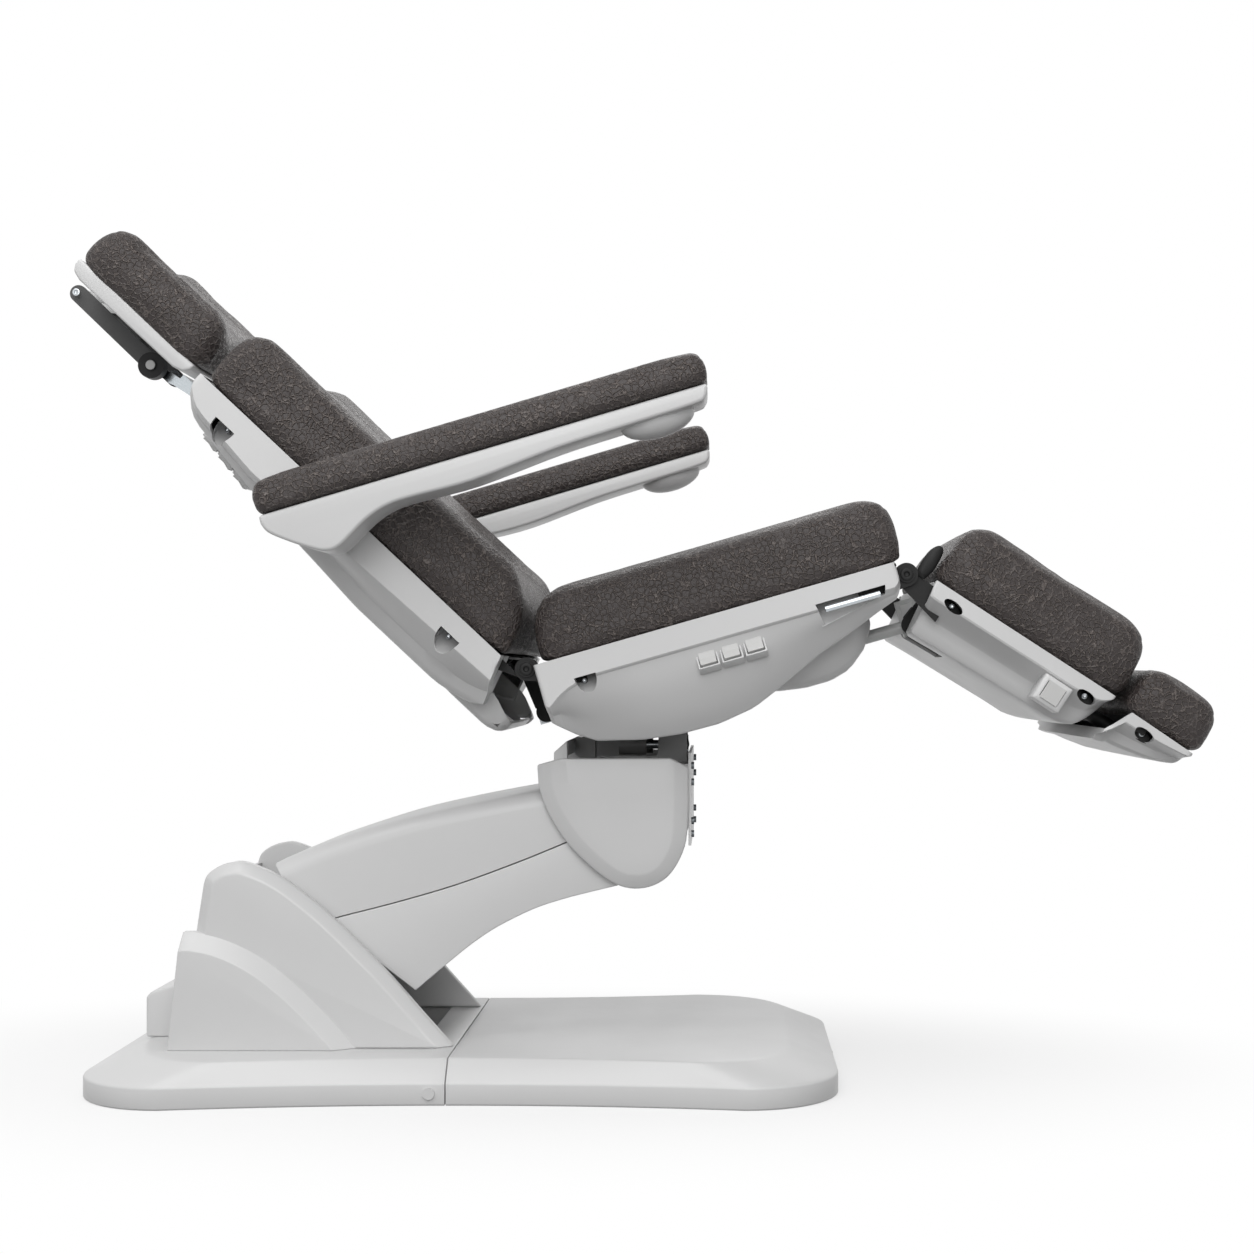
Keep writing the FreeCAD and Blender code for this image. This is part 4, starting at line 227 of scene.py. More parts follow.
def finishes():
    """All finishes, made once and kept by name."""
    made = {m.name: m for m in bpy.data.materials}
    if "crinkled_leatherette" in made:
        return made
    colours = bpy.context.scene.bed_colours
    leatherette(colours)
    # Moulded ABS: satin, with a spark-eroded grain drawn a little coarser than it is
    mottled("moulded_abs", colours.cover, roughness=0.36, grit=1.2, depth=0.02, variation=0.015)
    # ABS of the switches: a shade darker and duller than the covers
    mottled("switch_abs", colours.switch, roughness=0.42, grit=1.0, depth=0.05, variation=0.02)
    # Powder coat: black, dull, with orange peel
    mottled("powder_coat", colours.black, roughness=0.5, grit=1.6, depth=0.25, variation=0.15)
    # Grey powder coats: the same peel, dark on the headrest bar and pale under the seat
    mottled("grey_powder_coat", from_hex("#555555"), roughness=0.48, grit=1.6, depth=0.25, variation=0.08)
    mottled("pale_powder_coat", from_hex("#a0a0a0"), roughness=0.48, grit=1.6, depth=0.25, variation=0.08)
    # Blackened screw steel: dark, with a dull metal gleam
    mottled("blackened_steel", from_hex("#6a6e71"), metallic=1.0, roughness=0.45, grit=2.0, depth=0.05)
    # Zinc-plated steel: pale and slightly blue, with streaked gloss
    mottled("zinc_plate", from_hex("#b9bdc0"), metallic=1.0, roughness=0.3, grit=2.5, depth=0.06)
    # Baked enamel on a drive's rod: pale grey and smooth, with a soft gleam
    mottled("grey_enamel", from_hex("#c9cac9"), roughness=0.32, grit=2.0, depth=0.05, variation=0.03)
    # Chrome plate: mirror with faint wiping marks
    mottled("chrome_plate", from_hex("#bcc2c6"), metallic=1.0, roughness=0.16, grit=4.0, depth=0.02,
            variation=0.02)
    # Moulded nylon: black and matt
    mottled("black_nylon", from_hex("#171717"), roughness=0.5, grit=1.0, depth=0.15, variation=0.15)
    return {m.name: m for m in bpy.data.materials}


SLOT_FINISH = {
    "upholstery": "crinkled_leatherette", "cover_grey": "moulded_abs", "switch_grey": "switch_abs",
    "black_steel": "powder_coat", "steel": "zinc_plate", "pale_rod": "grey_enamel", "chrome": "chrome_plate",
    "black_plastic": "black_nylon",
}
NODE_FINISH = {
    "headrest_arm": "grey_powder_coat", "tilt_actuator": "pale_powder_coat",
    "carriage_frame": "pale_powder_coat", "panel_screws": "blackened_steel",
}


# Modelling helpers

def clear_selection():
    """Leave edit mode and select nothing."""
    if bpy.context.object is not None and bpy.context.object.mode != "OBJECT":
        bpy.ops.object.mode_set(mode="OBJECT")
    bpy.ops.object.select_all(action="DESELECT")


def choose(piece):
    """Make a piece the only one selected, and the active one."""
    clear_selection()
    piece.select_set(True)
    bpy.context.view_layer.objects.active = piece
    return piece


def pick_faces(piece, test):
    """In edit mode, select only the faces that pass a test of their middle and normal."""
    bpy.ops.mesh.select_mode(type="FACE")
    bpy.ops.mesh.select_all(action="DESELECT")
    mesh = bmesh.from_edit_mesh(piece.data)
    for face in mesh.faces:
        face.select_set(test(face.calc_center_median(), face.normal))
    mesh.select_flush_mode()
    bmesh.update_edit_mesh(piece.data)


def face_outwards():
    """In edit mode, turn all faces outwards."""
    bpy.ops.mesh.select_all(action="SELECT")
    bpy.ops.mesh.normals_make_consistent(inside=False)


def follow(line, value):
    """Second coordinate along a line of points sorted by the first one."""
    if value <= line[0][0]:
        return line[0][1]
    for (a, b), (c, d) in zip(line, line[1:]):
        if value <= c:
            return b + (d - b) * (value - a) / (c - a)
    return line[-1][1]


def between(p, q, r, s, t):
    """Smooth value between q and r, which follow p and come before s."""
    bend, twist = 2 * p - 5 * q + 4 * r - s, 3 * q - p - 3 * r + s
    return 0.5 * (2 * q + (r - p) * t + bend * t * t + twist * t ** 3)


def rounded(points, steps=5):
    """A smooth line through the given points."""
    line = []
    padded = [points[0]] + list(points) + [points[-1]]
    for corners in zip(padded, padded[1:], padded[2:], padded[3:]):
        for k in range(steps):
            line.append(tuple(between(*values, k / steps) for values in zip(*corners)))
    return line + [points[-1]]


def circle_line(x, z, radius, count=32):
    """Round side-view outline."""
    return [(x + radius * math.cos(2 * math.pi * k / count), z + radius * math.sin(2 * math.pi * k / count))
            for k in range(count)]


def slab(name, place, outline, low, high, steps=()):
    """A side-view outline drawn out across the bed, its last face inset and raised in steps (millimetres)."""
    clear_selection()
    bpy.ops.mesh.primitive_circle_add(vertices=len(outline), radius=0.1, fill_type="NGON")
    piece = bpy.context.object
    piece.name = name
    for corner, (x, z) in zip(piece.data.vertices, outline):
        corner.co = place @ Vector((x * MM, low * MM, z * MM))
    bpy.ops.object.mode_set(mode="EDIT")
    bpy.ops.mesh.select_all(action="SELECT")
    bpy.ops.mesh.extrude_region_move(TRANSFORM_OT_translate={"value": (0, (high - low) * MM, 0)})
    face_outwards()
    if steps:
        pick_faces(piece, lambda middle, normal: abs(middle.y - high * MM) < 1e-5)
        for thickness, rise in steps:
            bpy.ops.mesh.inset(thickness=thickness * MM, depth=rise * MM)
    bpy.ops.object.mode_set(mode="OBJECT")
    return piece


def trimmed(piece, start, end):
    """Cut off what lies to the left of the way from one side-view point to another (millimetres)."""
    (x, z), (to_x, to_z) = start, end
    choose(piece)
    bpy.ops.object.mode_set(mode="EDIT")
    bpy.ops.mesh.select_all(action="SELECT")
    bpy.ops.mesh.bisect(plane_co=(x * MM, 0, z * MM), plane_no=Vector((z - to_z, 0, to_x - x)).normalized(),
                        use_fill=True, clear_outer=True)
    face_outwards()
    bpy.ops.object.mode_set(mode="OBJECT")
    return piece


def skin(name, rows, ring=True):
    """A grid laid over rows of points; a ring closes on itself and has its ends filled."""
    clear_selection()
    across, along = len(rows[0]) if ring else len(rows[0]) - 1, len(rows) - 1
    bpy.ops.mesh.primitive_grid_add(x_subdivisions=across, y_subdivisions=along, size=1)
    piece = bpy.context.object
    piece.name = name
    for corner in piece.data.vertices:
        column = round((corner.co.x + 0.5) * across)
        row = round((corner.co.y + 0.5) * along)
        corner.co = rows[row][column % len(rows[0])]
    bpy.ops.object.mode_set(mode="EDIT")
    bpy.ops.mesh.select_all(action="SELECT")
    bpy.ops.mesh.remove_doubles(threshold=1e-6)
    if ring:
        bpy.ops.mesh.select_all(action="SELECT")
        bpy.ops.mesh.fill_holes(sides=0)
    face_outwards()
    bpy.ops.object.mode_set(mode="OBJECT")
    return piece


def modify(piece, kind, **settings):
    """Add a modifier and apply it."""
    choose(piece)
    modifier = piece.modifiers.new(kind.lower(), kind)
    for name, value in settings.items():
        setattr(modifier, name, value)
    bpy.ops.object.modifier_apply(modifier=modifier.name)
    return piece


def soften(piece, width=None, segments=3, angle=32):
    """Round the edges that are sharper than an angle, and shade the rest smooth."""
    width = bpy.context.scene.bed_sizes.edge_radius if width is None else width * MM
    modify(piece, "BEVEL", width=width, segments=segments, limit_method="ANGLE",
           angle_limit=math.radians(angle), use_clamp_overlap=True)
    return smooth(piece)


def smooth(piece, angle=40):
    """Shade a piece smooth apart from edges sharper than an angle."""
    choose(piece)
    bpy.ops.object.shade_smooth_by_angle(angle=math.radians(angle))
    return piece


def cut(piece, cutters):
    """Take the cutters away from a piece and remove them."""
    for cutter in cutters:
        modify(piece, "BOOLEAN", operation="DIFFERENCE", object=cutter, solver="MANIFOLD")
        bpy.data.objects.remove(cutter)
    return piece


def block(place, x0, x1, y0, y1, z0, z1):
    """Plain cutter between two places along, across and above a group's origin (millimetres)."""
    return slab("cutter", place, [(x0, z0), (x1, z0), (x1, z1), (x0, z1)], y0, y1)


def blocks_beside(place, x0, x1, inner, outer, z0, z1):
    """The same cutter on both sides of the bed."""
    return [block(place, x0, x1, inner, outer, z0, z1), block(place, x0, x1, -outer, -inner, z0, z1)]


def join(pieces):
    """Make one piece of several; it keeps the first one's name."""
    clear_selection()
    for piece in pieces:
        piece.select_set(True)
    bpy.context.view_layer.objects.active = pieces[0]
    bpy.ops.object.join()
    return pieces[0]


def across_copy(piece, name):
    """The same piece on the other side of the bed, with a mesh of its own."""
    copy = piece.copy()
    copy.data = piece.data.copy()
    copy.name = name
    bpy.context.scene.collection.objects.link(copy)
    copy.data.transform(Matrix.Diagonal((1, -1, 1, 1)))
    copy.data.flip_normals()
    return copy


def settle(piece, slot, body, *nodes):
    """Give a piece its finish, its body, and the frame pieces that it stands for."""
    piece.data.materials.clear()
    piece.data.materials.append(finishes()[SLOT_FINISH[slot]])
    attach(piece, body)
    if nodes:
        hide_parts(*nodes)
    return piece


def cover(piece, body, *nodes):
    """A light grey moulding that stands for frame pieces of the same body."""
    return settle(piece, "cover_grey", body, *nodes)


# Base and tower

def base_ring(height, side, end):
    """Plan of the base at one height: straight ends, round corners, waisted sides."""
    half_length, half_end, waist, corner = 525 - end, 318 - side, 285 - side, 130
    straight, low = half_length - corner, half_end - corner
    half = [(half_length, low * (k / 3 - 1)) for k in range(6)]
    for k in range(13):
        turn = math.radians(90 * k / 12)
        half.append((straight + corner * math.cos(turn), low + corner * math.sin(turn)))
    for k in range(1, 24):
        x = straight * (1 - k / 12)
        half.append((x, waist + (half_end - waist) * (x / straight) ** 2))
    for k in range(13):
        turn = math.radians(90 + 90 * k / 12)
        half.append((-straight + corner * math.cos(turn), low + corner * math.sin(turn)))
    ring = half[:-1] + [(-x, -y) for x, y in half[:-1]]
    return [Vector((x * MM, y * MM, height * MM)) for x, y in ring]


class BED_OT_base_covers(bpy.types.Operator):
    """Two moulded halves of the base with the line between them"""
    bl_idname = "bed.base_covers"
    bl_label = "Base covers"

    def execute(self, context):
        # Height of each level, and how far it is drawn in at the sides and at the ends
        levels = [(0, 2, 2), (2, 0, 0), (28, 0, 0), (30.5, 0.7, 0.9), (32, 2.2, 3.4), (34, 4, 8),
                  (57.5, 27, 63), (59.3, 29.6, 68), (60, 33, 74)]
        for front in (True, False):
            name = "front_base_moulding" if front else "rear_base_moulding"
            piece = skin(name, [base_ring(*level) for level in levels])
            bpy.ops.object.mode_set(mode="EDIT")
            bpy.ops.mesh.select_all(action="SELECT")
            seam = -11.3 if front else -12.7
            bpy.ops.mesh.bisect(plane_co=(seam * MM, 0, 0), plane_no=(1, 0, 0), use_fill=True,
                                clear_inner=front, clear_outer=not front)
            face_outwards()
            bpy.ops.object.mode_set(mode="OBJECT")
            if not front:
                tower_well = block(UPRIGHT, -398, -62, -176, 176, 10, 90)
                cut(piece, [tower_well])
            soften(piece, 1.2, 2, 28)
            cover(piece, "base", "front_base_cover" if front else "rear_base_cover")
        return {"FINISHED"}


class BED_OT_tower_covers(bpy.types.Operator):
    """Two cheeks of the tower with a bevelled crest and a proud lower step"""
    bl_idname = "bed.tower_covers"
    bl_label = "Tower covers"

    def execute(self, context):
        crest = rounded([(-366, 288), (-361, 301), (-347, 312), (-330, 318), (-306, 319), (-263, 301),
                         (-228, 277), (-186, 242), (-144, 201), (-102, 158), (-60, 110), (-15, 60)], 4)
        cheek = [(-393, 10), (-388, 60), (-376, 222)] + crest + [(31, 10)]
        brow = rounded([(-376, 223), (-341, 216), (-300, 199), (-262, 175), (-220, 139), (-177, 95),
                        (-148, 60)], 4)
        step = [(-440, 10), (-434, 60), (-418, 216), (-390, 223)] + brow + [(-108, 10)]
        rear = [(-408, 60), (-393, 206), (-376, 224), (-366, 288)]
        rear += [(x + 7, z) for x, z in reversed(rear)]
        floor_line = ((100, 60.2), (-500, 60.2))
        cheek = trimmed(slab("cheek", UPRIGHT, cheek, -160, -176, [(15, 14)]), *floor_line)
        step = trimmed(slab("step", UPRIGHT, step, -174, -189, [(24, 19)]), *floor_line)
        parts = [
            soften(cheek, 3, 3, 24),
            soften(trimmed(step, (-408.5, 60), (-391, 224)), 3, 3, 24),
            soften(slab("rear_wall", UPRIGHT, rear, -165, -0.4), 1.5, 2),
        ]
        near = join(parts)
        near.name = "tower_moulding_near"
        smooth(near, 30)
        far = across_copy(near, "tower_moulding_far")
        cover(near, "base", "tower_cover_near")
        cover(far, "base", "tower_cover_far")
        return {"FINISHED"}


class BED_OT_service_box(bpy.types.Operator):
    """Supply box behind the tower"""
    bl_idname = "bed.service_box"
    bl_label = "Supply box"

    def execute(self, context):
        sides = [(-468, 60), (-408.5, 60), (-400, 135), (-430, 134), (-462, 124), (-468, 118)]
        box = slab("supply_box", UPRIGHT, sides, -100, 100)
        cut(box, [block(UPRIGHT, -480, -455, -26, 26, 74, 108)])
        soften(box, 3.5, 3)
        cover(box, "base", "service_box")
        return {"FINISHED"}


# Lift arm and carriage

class BED_OT_arm_covers(bpy.types.Operator):
    """Upper and lower covers of the lift arm, parted by a fine line"""
    bl_idname = "bed.arm_covers"
    bl_label = "Arm covers"

    def execute(self, context):
        width, count, gap = 154, 28, 1.6
        seam = rounded([(60, 21), (86, 20), (162, 14), (253, 10), (344, 12), (398, 15), (425, 17)], 4)
        top = rounded([(16, 121), (60, 124.5), (108, 126), (200, 124), (288, 115), (360, 105), (425, 95)], 4)
        bottom = rounded([(150, -114), (209, -91), (251, -76), (290, -66), (343, -59), (389, -59),
                          (440, -63), (470, -66)], 4)
        rows = []
        for k in range(count + 1):
            x = top[0][0] + (top[-1][0] - top[0][0]) * k / count
            low_x = seam[0][0] + (seam[-1][0] - seam[0][0]) * k / count
            high, low = follow(top, x), follow(seam, low_x)
            # Side, wide rounded edge and flat top, each point as across, height and along
            half = [(width, low, low_x), (width, high - 26, x + 9), (width - 1, high - 19, x + 6),
                    (width - 4.5, high - 12, x + 4), (width - 14, high - 4, x + 1), (width - 26, high - 1, x),
                    (60, high, x), (0, high, x)]
            ring = half + [(-y, z, at) for y, z, at in reversed(half[:-1])]
            rows.append([ARM @ (Vector((at, y, z)) * MM) for y, z, at in ring])
        upper = smooth(skin("arm_top_moulding", rows), 50)
        cover(upper, "lift_arm", "arm_upper_cover")
        dropped = [(x, z - gap) for x, z in seam]
        lower = slab("arm_bottom_moulding", ARM, dropped + [(470, 10)] + bottom[::-1], -width, width)
        soften(lower, 4, 3, 35)
        cover(lower, "lift_arm", "arm_lower_cover")
        return {"FINISHED"}


class BED_OT_carriage_covers(bpy.types.Operator):
    """Shield-shaped covers beside the carriage, with a wide bevel and a hood over the tilt drive"""
    bl_idname = "bed.carriage_covers"
    bl_label = "Carriage covers"

    def execute(self, context):
        edge = rounded([(315, 420), (315, 394), (310, 340), (285, 297), (246, 281), (204, 292), (151, 338),
                        (118, 387), (104, 425)], 6)
        outline = [(102, 457), (102, 530), (315, 530)] + edge
        shield = slab("shield", UPRIGHT, outline, -158, -168, [(20, 10), (22, 2.5)])
        for start, end in (((100, 465), (315, 465)), ((101, 455), (137, 465)), ((290, 465), (311, 454))):
            trimmed(shield, start, end)
        soften(shield, 3, 3, 14)
        hood = slab("hood", UPRIGHT, [(126, 459), (145, 459), (145, 490), (126, 473)], -173, -0.4)
        # The hood bridges the arm, which rises to it when the bed is at its lowest
        cut(hood, [block(UPRIGHT, 120, 150, -156, 1, 455, 467)])
        near = join([shield, soften(hood, 2, 2)])
        near.name = "carriage_moulding_near"
        smooth(near, 30)
        far = across_copy(near, "carriage_moulding_far")
        cover(near, "carriage", "carriage_cover_near")
        cover(far, "carriage", "carriage_cover_far")
        return {"FINISHED"}


# Shells under the cushions

def flared(half, low_half, top, rim, depth, corner, full, bulge=5):
    """Half section of a shell: upright rim, small step, leaning side, chamfered lower edge, flat bottom."""
    depth = max(depth, 12)
    rim = min(rim, depth * 0.7)
    bottom = top - depth
    share = (depth - rim) / (full - rim)
    low = half - 5 - (half - 5 - low_half) * share
    start = (half - 5, top - rim - 4)
    radius = min(corner, (start[1] - bottom) * 0.6)
    points = [(half, top), (half, top - rim * 0.5), (half, top - rim), (half - 2, top - rim - 2.2), start]
    for k in range(1, 7):
        t = k / 6
        points.append((start[0] + (low - start[0]) * t + bulge * share * math.sin(math.pi * t),
                       start[1] + (bottom + radius - start[1]) * t))
    points += [(low - radius * 0.4, bottom + radius * 0.5), (low - radius * 0.8, bottom + 2)]
    return points + [((low - radius) * part, bottom) for part in (1, 0.66, 0.33, 0)]


def corner_draw(x, low, high, radius):
    """How far a plan corner of a given radius draws the side in, near either end."""
    away = min(x - low, high - x)
    if away >= radius:
        return 0
    return radius - math.sqrt(max(radius * radius - (radius - away) ** 2, 0))


def tub(name, place, stations, section, lean=lambda x, z: 0):
    """Open shell through half sections, with end walls up to its rim and a wall of real thickness."""
    rows = []
    for x in stations:
        half = section(x)
        line = [(-y, z) for y, z in half] + list(reversed(half[:-1]))
        rows.append([(x + lean(x, z), y, z) for y, z in line])
    for end, at in ((rows[0], 0), (rows[-1], len(rows) + 1)):
        rows.insert(at, [(end[0][0], y, end[0][2]) for x, y, z in end])
    shell = skin(name, [[place @ (Vector(point) * MM) for point in row] for row in rows], ring=False)
    return modify(shell, "SOLIDIFY", thickness=bpy.context.scene.bed_sizes.shell_wall, offset=-1)


def spread(low, high, count, ends=()):
    """Stations between two ends, with some more where the form turns."""
    return sorted(set([low + (high - low) * k / count for k in range(count + 1)] + list(ends)))


def half_moon(x, z, half, height):
    """Outline of a finger pocket: flat above, round below."""
    return [(x + half * math.cos(t), z - height * math.sin(t)) for t in
            [math.pi * k / 14 for k in range(15)]]


def pocket(shell, place, outline, side, depth, scoop=22):
    """Cut a pocket into a shell's side and line it with a cup that is deepest along its upper edge."""
    spare, floor, wall, overlap, beyond = 24, 6, 1.2, 1.08, 80
    x, z = middle = [sum(values) / len(outline) for values in zip(*outline)]
    wide = [[m + (v - m) * overlap for v, m in zip(point, middle)] for point in outline]
    top, bottom = max(z for x, z in outline), min(z for x, z in outline)
    cup = slab("cup", place, wide, side * (depth + spare), side * (depth - floor))
    back = place.inverted()
    for corner in cup.data.vertices:
        if abs(corner.co.y) < depth * MM:
            height = ((back @ corner.co).z / MM - bottom) / (top - bottom)
            corner.co.y -= side * scoop * MM * max(0, height)
    choose(cup)
    bpy.ops.object.mode_set(mode="EDIT")
    pick_faces(cup, lambda centre, normal: abs(centre.y - side * (depth + spare) * MM) < 1e-5)
    bpy.ops.mesh.delete(type="FACE")
    bpy.ops.object.mode_set(mode="OBJECT")
    modify(cup, "SOLIDIFY", thickness=wall * MM, offset=-1)
    outside = block(place, x - beyond, x + beyond, side * (depth - 1), side * (depth + 60),
                    z - beyond, z + beyond)
    cut(cup, [outside])
    cut(shell, [slab("cutter", place, outline, side * (depth - 40), side * (depth + 40))])
    return smooth(cup)


def pocket_screws(body, place, spots):
    """Small bright screws at the upper edge of a shell's finger pockets."""
    head = [(0.8, 0.7), (1.0, -1.2)]
    screws = []
    for x, z, depth in spots:
        outline = circle_line(x - 4, z - 6, 3.6, 20)
        for side in SIDES:
            screw = slab("screw", place, outline, side * (depth - 24), side * (depth - 12), head)
            screws.append(soften(screw, 0.4, 2))
    screws = join(screws)
    screws.name = body + "_pocket_screws"
    settle(screws, "steel", body)


def seat_section(x):
    """Half section of the seat shell at a place along the seat."""
    depth = follow([(7, 75), (30, 98), (57, 116), (118, 132), (171, 139), (226, 140), (278, 132), (310, 119),
                    (386, 85), (431, 70), (477, 52), (505, 42), (513, 26)], x)
    half = 298 - corner_draw(x, 7, 513, 5)
    rim = follow([(7, 60), (16, 52), (30, 42), (50, 33), (80, 27)], x)
    low_half = follow([(7, 232), (60, 240), (140, 258), (420, 258), (513, 240)], x)
    return flared(half, low_half, 2, rim + 6, depth + 6, 26, 146)


def seat_belly(x):
    """Half section of the deeper middle under the front of the seat."""
    bottom = follow([(290, 112), (313, 124), (357, 131), (395, 131), (424, 123), (451, 101), (469, 74)], x)
    half = 200 - corner_draw(x, 240, 470, 30)
    return [(half, -36), (half, -60), (half - 2, -bottom * 0.72), (half - 10, -bottom * 0.9),
            (half - 26, -bottom * 0.985), (half - 60, -bottom), (half * 0.4, -bottom), (0, -bottom)]


class BED_OT_seat_shell(bpy.types.Operator):
    """Boat-shaped shell under the seat, its belly, finger pockets and switch frames"""
    bl_idname = "bed.seat_shell"
    bl_label = "Seat shell"

    def execute(self, context):
        stations = spread(7, 513, 40, [9, 12, 16, 22, 498, 503, 508, 511])
        shell = tub("seat_moulding", SEAT, stations, seat_section)
        belly = tub("belly", SEAT, spread(290, 469, 18, [462, 466]), seat_belly)
        cut(shell, [
            # Neck of the carriage, levers and rod of the back, rod of the leg rest
            block(SEAT, 12, 225, -88, 88, -170, -90), block(SEAT, -9, 62, -222, 222, -170, -48),
            block(SEAT, -9, 62, 100, 160, -170, -2), block(SEAT, 300, 540, -160, -100, -112, -22),
            # Lugs of the back hinge and of the leg hinge
            *blocks_beside(SEAT, -9, 28, 240, 266, -44, 6), *blocks_beside(SEAT, 490, 540, 240, 266, -44, 6),
            # Inside of the belly
            block(SEAT, 300, 460, -180, 180, -200, -60),
        ])
        cut(belly, [block(SEAT, 400, 540, -160, -100, -112, -22)])
        grip, rod_recess = (70, -30, 281), [(394, -24), (492, -24), (489, -36), (400, -54)]
        cups = [pocket(shell, SEAT, half_moon(*grip[:2], 15, 24), side, grip[2]) for side in SIDES]
        cups.append(pocket(shell, SEAT, rod_recess, -1, 284, 26))
        smooth(shell, 16)
        smooth(belly, 40)
        frames = [switch_frame(seat_switch_place(k)) for k in range(3)]
        shell = join([shell, belly] + cups + frames)
        cover(shell, "seat", "seat_shell")
        pocket_screws("seat", SEAT, [grip])
        return {"FINISHED"}


def seat_switch_place(index):
    """Place of a switch on the leaning near side of the seat, its third axis pointing out."""
    low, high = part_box(f"seat_rocker_{index + 1}")
    middle = (low + high) / 2
    lean = Matrix.Rotation(math.radians(60.3), 4, "X")
    return Matrix.Translation(middle) @ SEAT.to_3x3().to_4x4() @ lean


def back_switch_place(index):
    """Place of a rocker switch on the back: in the middle of its rocker, along the shell's sloping side."""
    low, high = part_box(f"back_rocker_{index + 1}")
    middle = (low + high) / 2
    return Matrix.Translation(middle) @ (BACK @ slanted(0, 0, -8.3)).to_3x3().to_4x4() @ TURNED


def switch_frame(place):
    """Raised square frame round a rocker switch."""
    outer, height, rim, taper, well, sink = 30, 16, 2.6, 0.4, 14, 4
    clear_selection()
    bpy.ops.mesh.primitive_cube_add(size=1)
    box = bpy.context.object
    box.name = "switch_frame"
    box.data.transform(Matrix.Diagonal((outer * MM, outer * MM, height * MM, 1)))
    bpy.ops.object.mode_set(mode="EDIT")
    pick_faces(box, lambda middle, normal: normal.z > 0.9)
    bpy.ops.mesh.inset(thickness=rim * MM, depth=0)
    bpy.ops.mesh.inset(thickness=taper * MM, depth=-well * MM)
    bpy.ops.object.mode_set(mode="OBJECT")
    soften(box, 1.2, 2)
    box.data.transform(place @ Matrix.Translation((0, 0, -sink * MM)))
    return box


def back_section(x):
    """Half section of the back shell at a place along the back."""
    depth = follow([(-590, 12), (-585, 24), (-572, 38), (-558, 48), (-446, 65), (-348, 78), (-234, 88),
                    (-94, 88), (-50, 78), (-33, 64)], x)
    half = 298 - corner_draw(x, -591, -20, 8)
    rim = follow([(-590, 40), (-450, 44), (-300, 36), (-100, 30), (-33, 28)], x)
    return flared(half, 240, -8, rim + 6, depth + 6, 24, 94)


def back_lip(x):
    """Half section of the lip at the foot of the back shell."""
    bottom = follow([(-150, 101), (-60, 104), (0, 104), (16, 102), (26, 96), (31, 88)], x)
    half = 200 - corner_draw(x, -300, 32, 34)
    top = follow([(-150, 60), (-10, 60), (31, 76)], x)
    return [(half, -top), (half, -top - 8), (half - 3, -bottom + 12), (half - 12, -bottom + 3),
            (half - 30, -bottom), (half * 0.5, -bottom), (0, -bottom)]


class BED_OT_back_shell(bpy.types.Operator):
    """Shell behind the back cushion, its foot lip, finger pockets and switch frames"""
    bl_idname = "bed.back_shell"
    bl_label = "Back shell"

    def execute(self, context):
        def lean(x, z):
            """The underside reaches further towards the hinge than the rim does."""
            return 21 * max(0, min(1, (x + 150) / 117)) * min(1, (-13.8 - z) / 60)
        stations = spread(-590, -33, 40, [-588, -585, -580, -572])
        shell = tub("back_moulding", BACK, stations, back_section, lean)
        lip = tub("lip", BACK, spread(-150, 31, 16, [22, 27]), back_lip)
        cut(shell, [
            # Levers of the hinge, its lugs, the armrests' shaft, the headrest rails and the switches
            block(BACK, -60, 40, -190, 190, -92, 6), *blocks_beside(BACK, -62, 12, 240, 257, -50, 6),
            slab("cutter", BACK, circle_line(-318.3, -45.1, 15, 24), -330, 330),
            *[block(BACK, -610, -535, y - 10, y + 10, -60, -40) for y in (-50, 50)],
            *[block(back_switch_place(k) @ TURNED, -12.6, 12.6, -12.6, 12.6, -20, 10) for k in range(3)],
        ])
        # The lip is open above, and notched where the drive's rod dips when the back lies flat
        cut(lip, [block(BACK, -120, 20, -190, 190, -92, -40), block(BACK, -30, 40, 104, 156, -130, -40)])
        grips = ((-517, -36, 268), (-104, -34, 276))
        cups = [pocket(shell, BACK, half_moon(x, z, 17, 30), side, depth)
                for x, z, depth in grips for side in SIDES]
        smooth(shell, 28)
        smooth(lip, 40)
        frames = [switch_frame(back_switch_place(k)) for k in range(3)]
        shell = join([shell, lip] + cups + frames)
        cover(shell, "back", "back_shell")
        pocket_screws("back", BACK, grips)
        return {"FINISHED"}


# Full half sections of the leg and foot shells, as half width and height
LEG_PROFILE = [(283, 14), (283, 4), (283, -6), (281.5, -8.5), (277, -10.5), (262, -17), (248, -24),
               (239, -29), (237, -31), (233, -42), (229, -53), (225, -57), (218, -59), (150, -60),
               (80, -60), (0, -60)]
FOOT_PROFILE = [(280, 8), (280, 0), (280, -7), (278.5, -9), (275, -10.5), (262, -14), (250, -18), (243, -21),
                (241, -22), (238, -29), (235, -36), (230, -40), (222, -41.5), (80, -42), (0, -42)]


def scaled_section(profile, x, low, high, radius, depth, top):
    """A shell's full half section, made shallower and drawn in near the ends."""
    full = profile[0][1] - profile[-1][1]
    draw = corner_draw(x, low, high, radius)
    return [(max(y - draw * (y > 100), 0), top + (z - profile[0][1]) * depth / full) for y, z in profile]


def leg_section(x):
    """Half section of the leg shell at a place along the leg rest."""
    depth = follow([(38, 70), (44, 74), (93, 72), (165, 70), (234, 68), (273, 68), (296, 62), (309, 55),
                    (318, 38), (323, 24), (326, 12)], x)
    return scaled_section(LEG_PROFILE, x, 37, 327, 5, depth + 4, 14)


